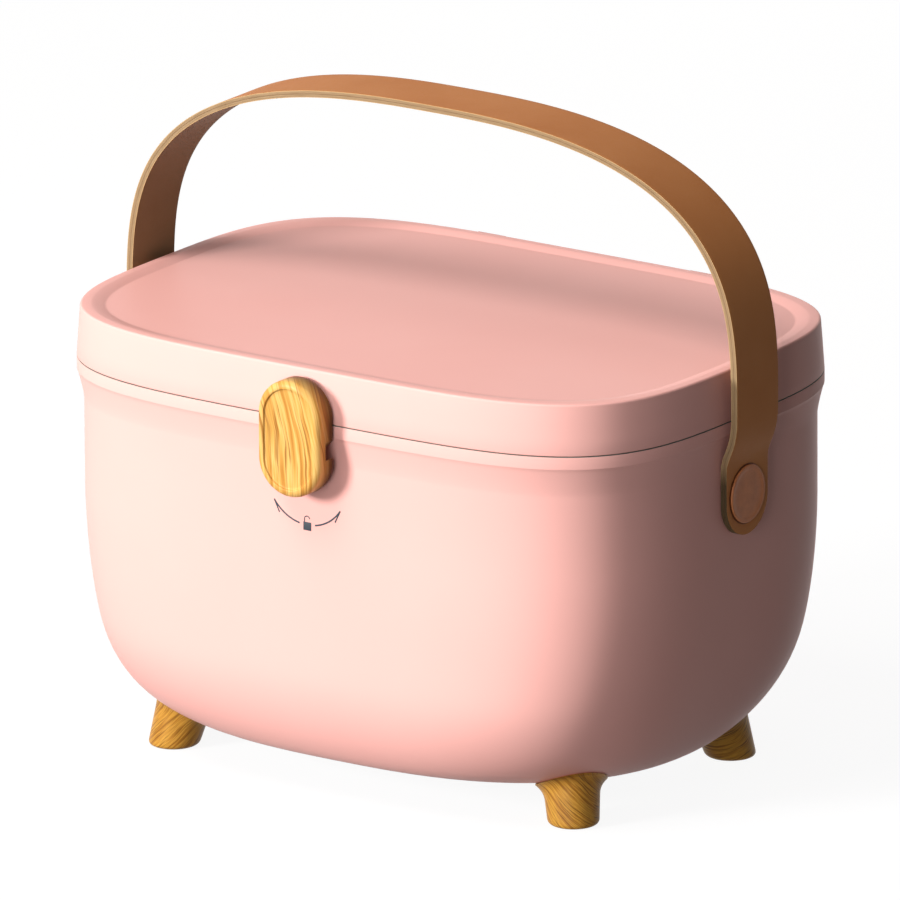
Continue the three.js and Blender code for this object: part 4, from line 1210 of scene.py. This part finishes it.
pink_shell = moulded_plastic(
    "pink_shell_satin", rgb(252, 190, 180), rgb(250, 186, 176), 0.44, (TUB_TOP + LID_BOTTOM) / 2
)
tray_plastic = moulded_plastic("tray_pale_satin", rgb(248, 222, 215), rgb(245, 215, 208), 0.46)
latch_wood = latch_grain("latch_wood_grain")
foot_wood = foot_grain("foot_wood_grain")
strap_face = smooth_leather("strap_leather_face", rgb(195, 127, 71), rgb(182, 113, 61))
strap_lining = smooth_leather("strap_leather_lining", rgb(133, 107, 74), rgb(120, 94, 62))
strap_edge = raw_edge("strap_leather_edge")
cap_brown = cap_plastic("rivet_cap_brown_satin")
steel = plated_steel("zinc_plated_steel")
mark_ink = print_ink("turn_mark_ink")


# Putting the pieces on their bodies

def dress(piece, material):
    piece.data.materials.clear()
    piece.data.materials.append(material)


def finish_piece(piece, body, material, nodes=(), angle=30):
    """Smooths a piece, gives it its finish, and lets it ride on its body."""
    take(piece)
    bpy.ops.object.shade_smooth_by_angle(angle=math.radians(angle))
    dress(piece, material)
    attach(piece, body)
    if nodes:
        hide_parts(*nodes)


def shows_cut_edge(face):
    """Whether a face of the strap looks along Y or closes one of its ends."""
    middle = face.center
    outward = Vector((middle.x, 0, 0))
    slanted = face.normal.dot(outward) ** 2 < 0.9 * outward.length_squared
    return abs(face.normal.y) > 0.3 or (middle.z < RIVET_HEIGHT and slanted)


def build():
    finish_piece(make_tub(), "box", pink_shell, ["tub"])
    finish_piece(cut_lid_front(make_lid()), "lid", pink_shell, ["lid"])
    make_hinges()
    finish_piece(make_tray(), "box", tray_plastic, ["tray"])

    for end, sy in (("front", -1), ("rear", 1)):
        for side_name, sx in SIDES:
            corner = f"foot_{end}_{side_name}"
            foot = make_foot(corner + "_flared", sx, sy)
            finish_piece(foot, "box", foot_wood, [corner], 40)

    finish_piece(make_latch(), "latch", latch_wood, ["latch_knob"], 35)

    for layer, leather in zip(make_strap(), (strap_face, strap_lining)):
        finish_piece(layer, "handle", leather, ["handle_strap"], 40)
        layer.data.materials.append(strap_edge)
        for face in layer.data.polygons:
            if shows_cut_edge(face):
                face.material_index = 1

    for side_name, side in SIDES:
        cap = make_rivet_cap(f"rivet_cap_{side_name}_turned", side)
        finish_piece(cap, "box", cap_brown, [f"rivet_cap_{side_name}"], 40)

    finish_piece(make_turn_mark(), "box", mark_ink)

    # The frame's own small pieces
    for name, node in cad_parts.items():
        if any(word in name for word in ("screw", "washer", "post", "pin")):
            dress(node, steel)
        elif name == "latch_keeper":
            dress(node, pink_shell)


build()


# Stage: floor, world, camera and lamps

CAMERA_AZIMUTH = 34.7344
CAMERA_ELEVATION = 16.3453
CAMERA_ROLL = -0.2654
CAMERA_AIM = (-0.00008, -0.00037, 0.13313)
CAMERA_DISTANCE = 10.46847
CAMERA_LENS = 983.56
LAMP_AIM = (0, 0, 0.13)


def bearing(azimuth, elevation):
    """The way from the box to a viewer, from two angles in degrees."""
    a, e = math.radians(azimuth), math.radians(elevation)
    return Vector((math.sin(a) * math.cos(e), -math.cos(a) * math.cos(e), math.sin(e)))


def flat_light(name, azimuth, elevation, distance, width, power, colour):
    """A square lamp that looks at the box: angles in degrees, metres and watts."""
    lamp = bpy.data.lights.new(name, "AREA")
    lamp.size = width
    lamp.energy = power
    lamp.color = colour
    thing = bpy.data.objects.new(name, lamp)
    bpy.context.collection.objects.link(thing)
    back = bearing(azimuth, elevation)
    thing.location = Vector(LAMP_AIM) + back * distance
    thing.rotation_mode = "QUATERNION"
    thing.rotation_quaternion = (-back).to_track_quat("-Z", "Y")
    return thing


def shader_node(tree, kind, **values):
    made = tree.nodes.new(kind)
    for key, value in values.items():
        made.inputs[key].default_value = value
    return made


def show_apart(tree, shown, hidden, out):
    """Gives camera and gloss rays one shader, and all others another."""
    path = tree.nodes.new("ShaderNodeLightPath")
    seen = tree.nodes.new("ShaderNodeMath")
    seen.operation = "MAXIMUM"
    pick = tree.nodes.new("ShaderNodeMixShader")
    tree.links.new(path.outputs["Is Camera Ray"], seen.inputs[0])
    tree.links.new(path.outputs["Is Glossy Ray"], seen.inputs[1])
    tree.links.new(seen.outputs[0], pick.inputs[0])
    tree.links.new(hidden.outputs[0], pick.inputs[1])
    tree.links.new(shown.outputs[0], pick.inputs[2])
    tree.links.new(pick.outputs[0], out.inputs[0])


def make_floor():
    """White where the camera or a gloss sees it, with the box's faint shadow; plain grey to
    the light that it sends back."""
    bpy.ops.mesh.primitive_plane_add(size=30, location=(0, 0, -0.2 * MM))
    floor = added("floor")
    finish = Finish("floor_pale")
    tree = finish.tree
    finish.surface(Base_Color=(0.14, 0.13, 0.127, 1), Roughness=0.9, Specular_IOR_Level=0.0)
    faint = shader_node(tree, "ShaderNodeBsdfDiffuse", Color=(0.12, 0.12, 0.12, 1))
    glow = shader_node(tree, "ShaderNodeEmission", Strength=0.92)
    both = tree.nodes.new("ShaderNodeAddShader")
    tree.links.new(faint.outputs[0], both.inputs[0])
    tree.links.new(glow.outputs[0], both.inputs[1])
    show_apart(tree, both, finish.shader, tree.nodes["Material Output"])
    dress(floor, finish.material)


def make_world():
    """White to look at, with a faint warm light on all else."""
    world = bpy.data.worlds.new("studio")
    bpy.context.scene.world = world
    world.use_nodes = True
    tree = world.node_tree
    tree.nodes.clear()
    ambient = shader_node(tree, "ShaderNodeBackground", Color=(1, 0.97, 0.95, 1), Strength=0.045)
    white = shader_node(tree, "ShaderNodeBackground", Color=(1, 1, 1, 1), Strength=1.0)
    show_apart(tree, white, ambient, tree.nodes.new("ShaderNodeOutputWorld"))


def make_camera():
    """The photo's view, from far off with a long lens."""
    azimuth, roll = math.radians(CAMERA_AZIMUTH), math.radians(CAMERA_ROLL)
    back = bearing(CAMERA_AZIMUTH, CAMERA_ELEVATION)
    right = Vector((math.cos(azimuth), math.sin(azimuth), 0))
    up = back.cross(right)
    across = right * math.cos(roll) + up * math.sin(roll)
    upright = up * math.cos(roll) - right * math.sin(roll)
    lens = bpy.data.cameras.new("camera")
    lens.sensor_width = 36
    lens.lens = CAMERA_LENS
    lens.clip_start = 0.5
    lens.clip_end = 60
    camera = bpy.data.objects.new("camera", lens)
    bpy.context.collection.objects.link(camera)
    place = Vector(CAMERA_AIM) + back * CAMERA_DISTANCE
    turn = Matrix((across, upright, back)).transposed().to_4x4()
    camera.matrix_world = Matrix.Translation(place) @ turn
    bpy.context.scene.camera = camera


make_camera()
make_floor()
make_world()
flat_light("front_panel", -27, 15, 2.2, 0.5, 50, (1.0, 0.985, 0.985))
flat_light("front_fill", 13, 8, 2.5, 1.2, 22, (0.95, 0.975, 1.0))
flat_light("shadow_lamp", -17, 58, 2.5, 0.95, 26.5, (1.0, 0.955, 0.94))
flat_light("overhead_panel", -40, 74, 2.2, 2.2, 9.5, (1.0, 0.93, 0.92))
back_fill = flat_light("back_fill", 200, 4, 2.5, 1.2, 24, (1.0, 0.98, 0.97))
# The lid's gloss would show this lamp as a bright patch
back_fill.visible_glossy = False
bpy.context.scene.view_settings.view_transform = "Standard"
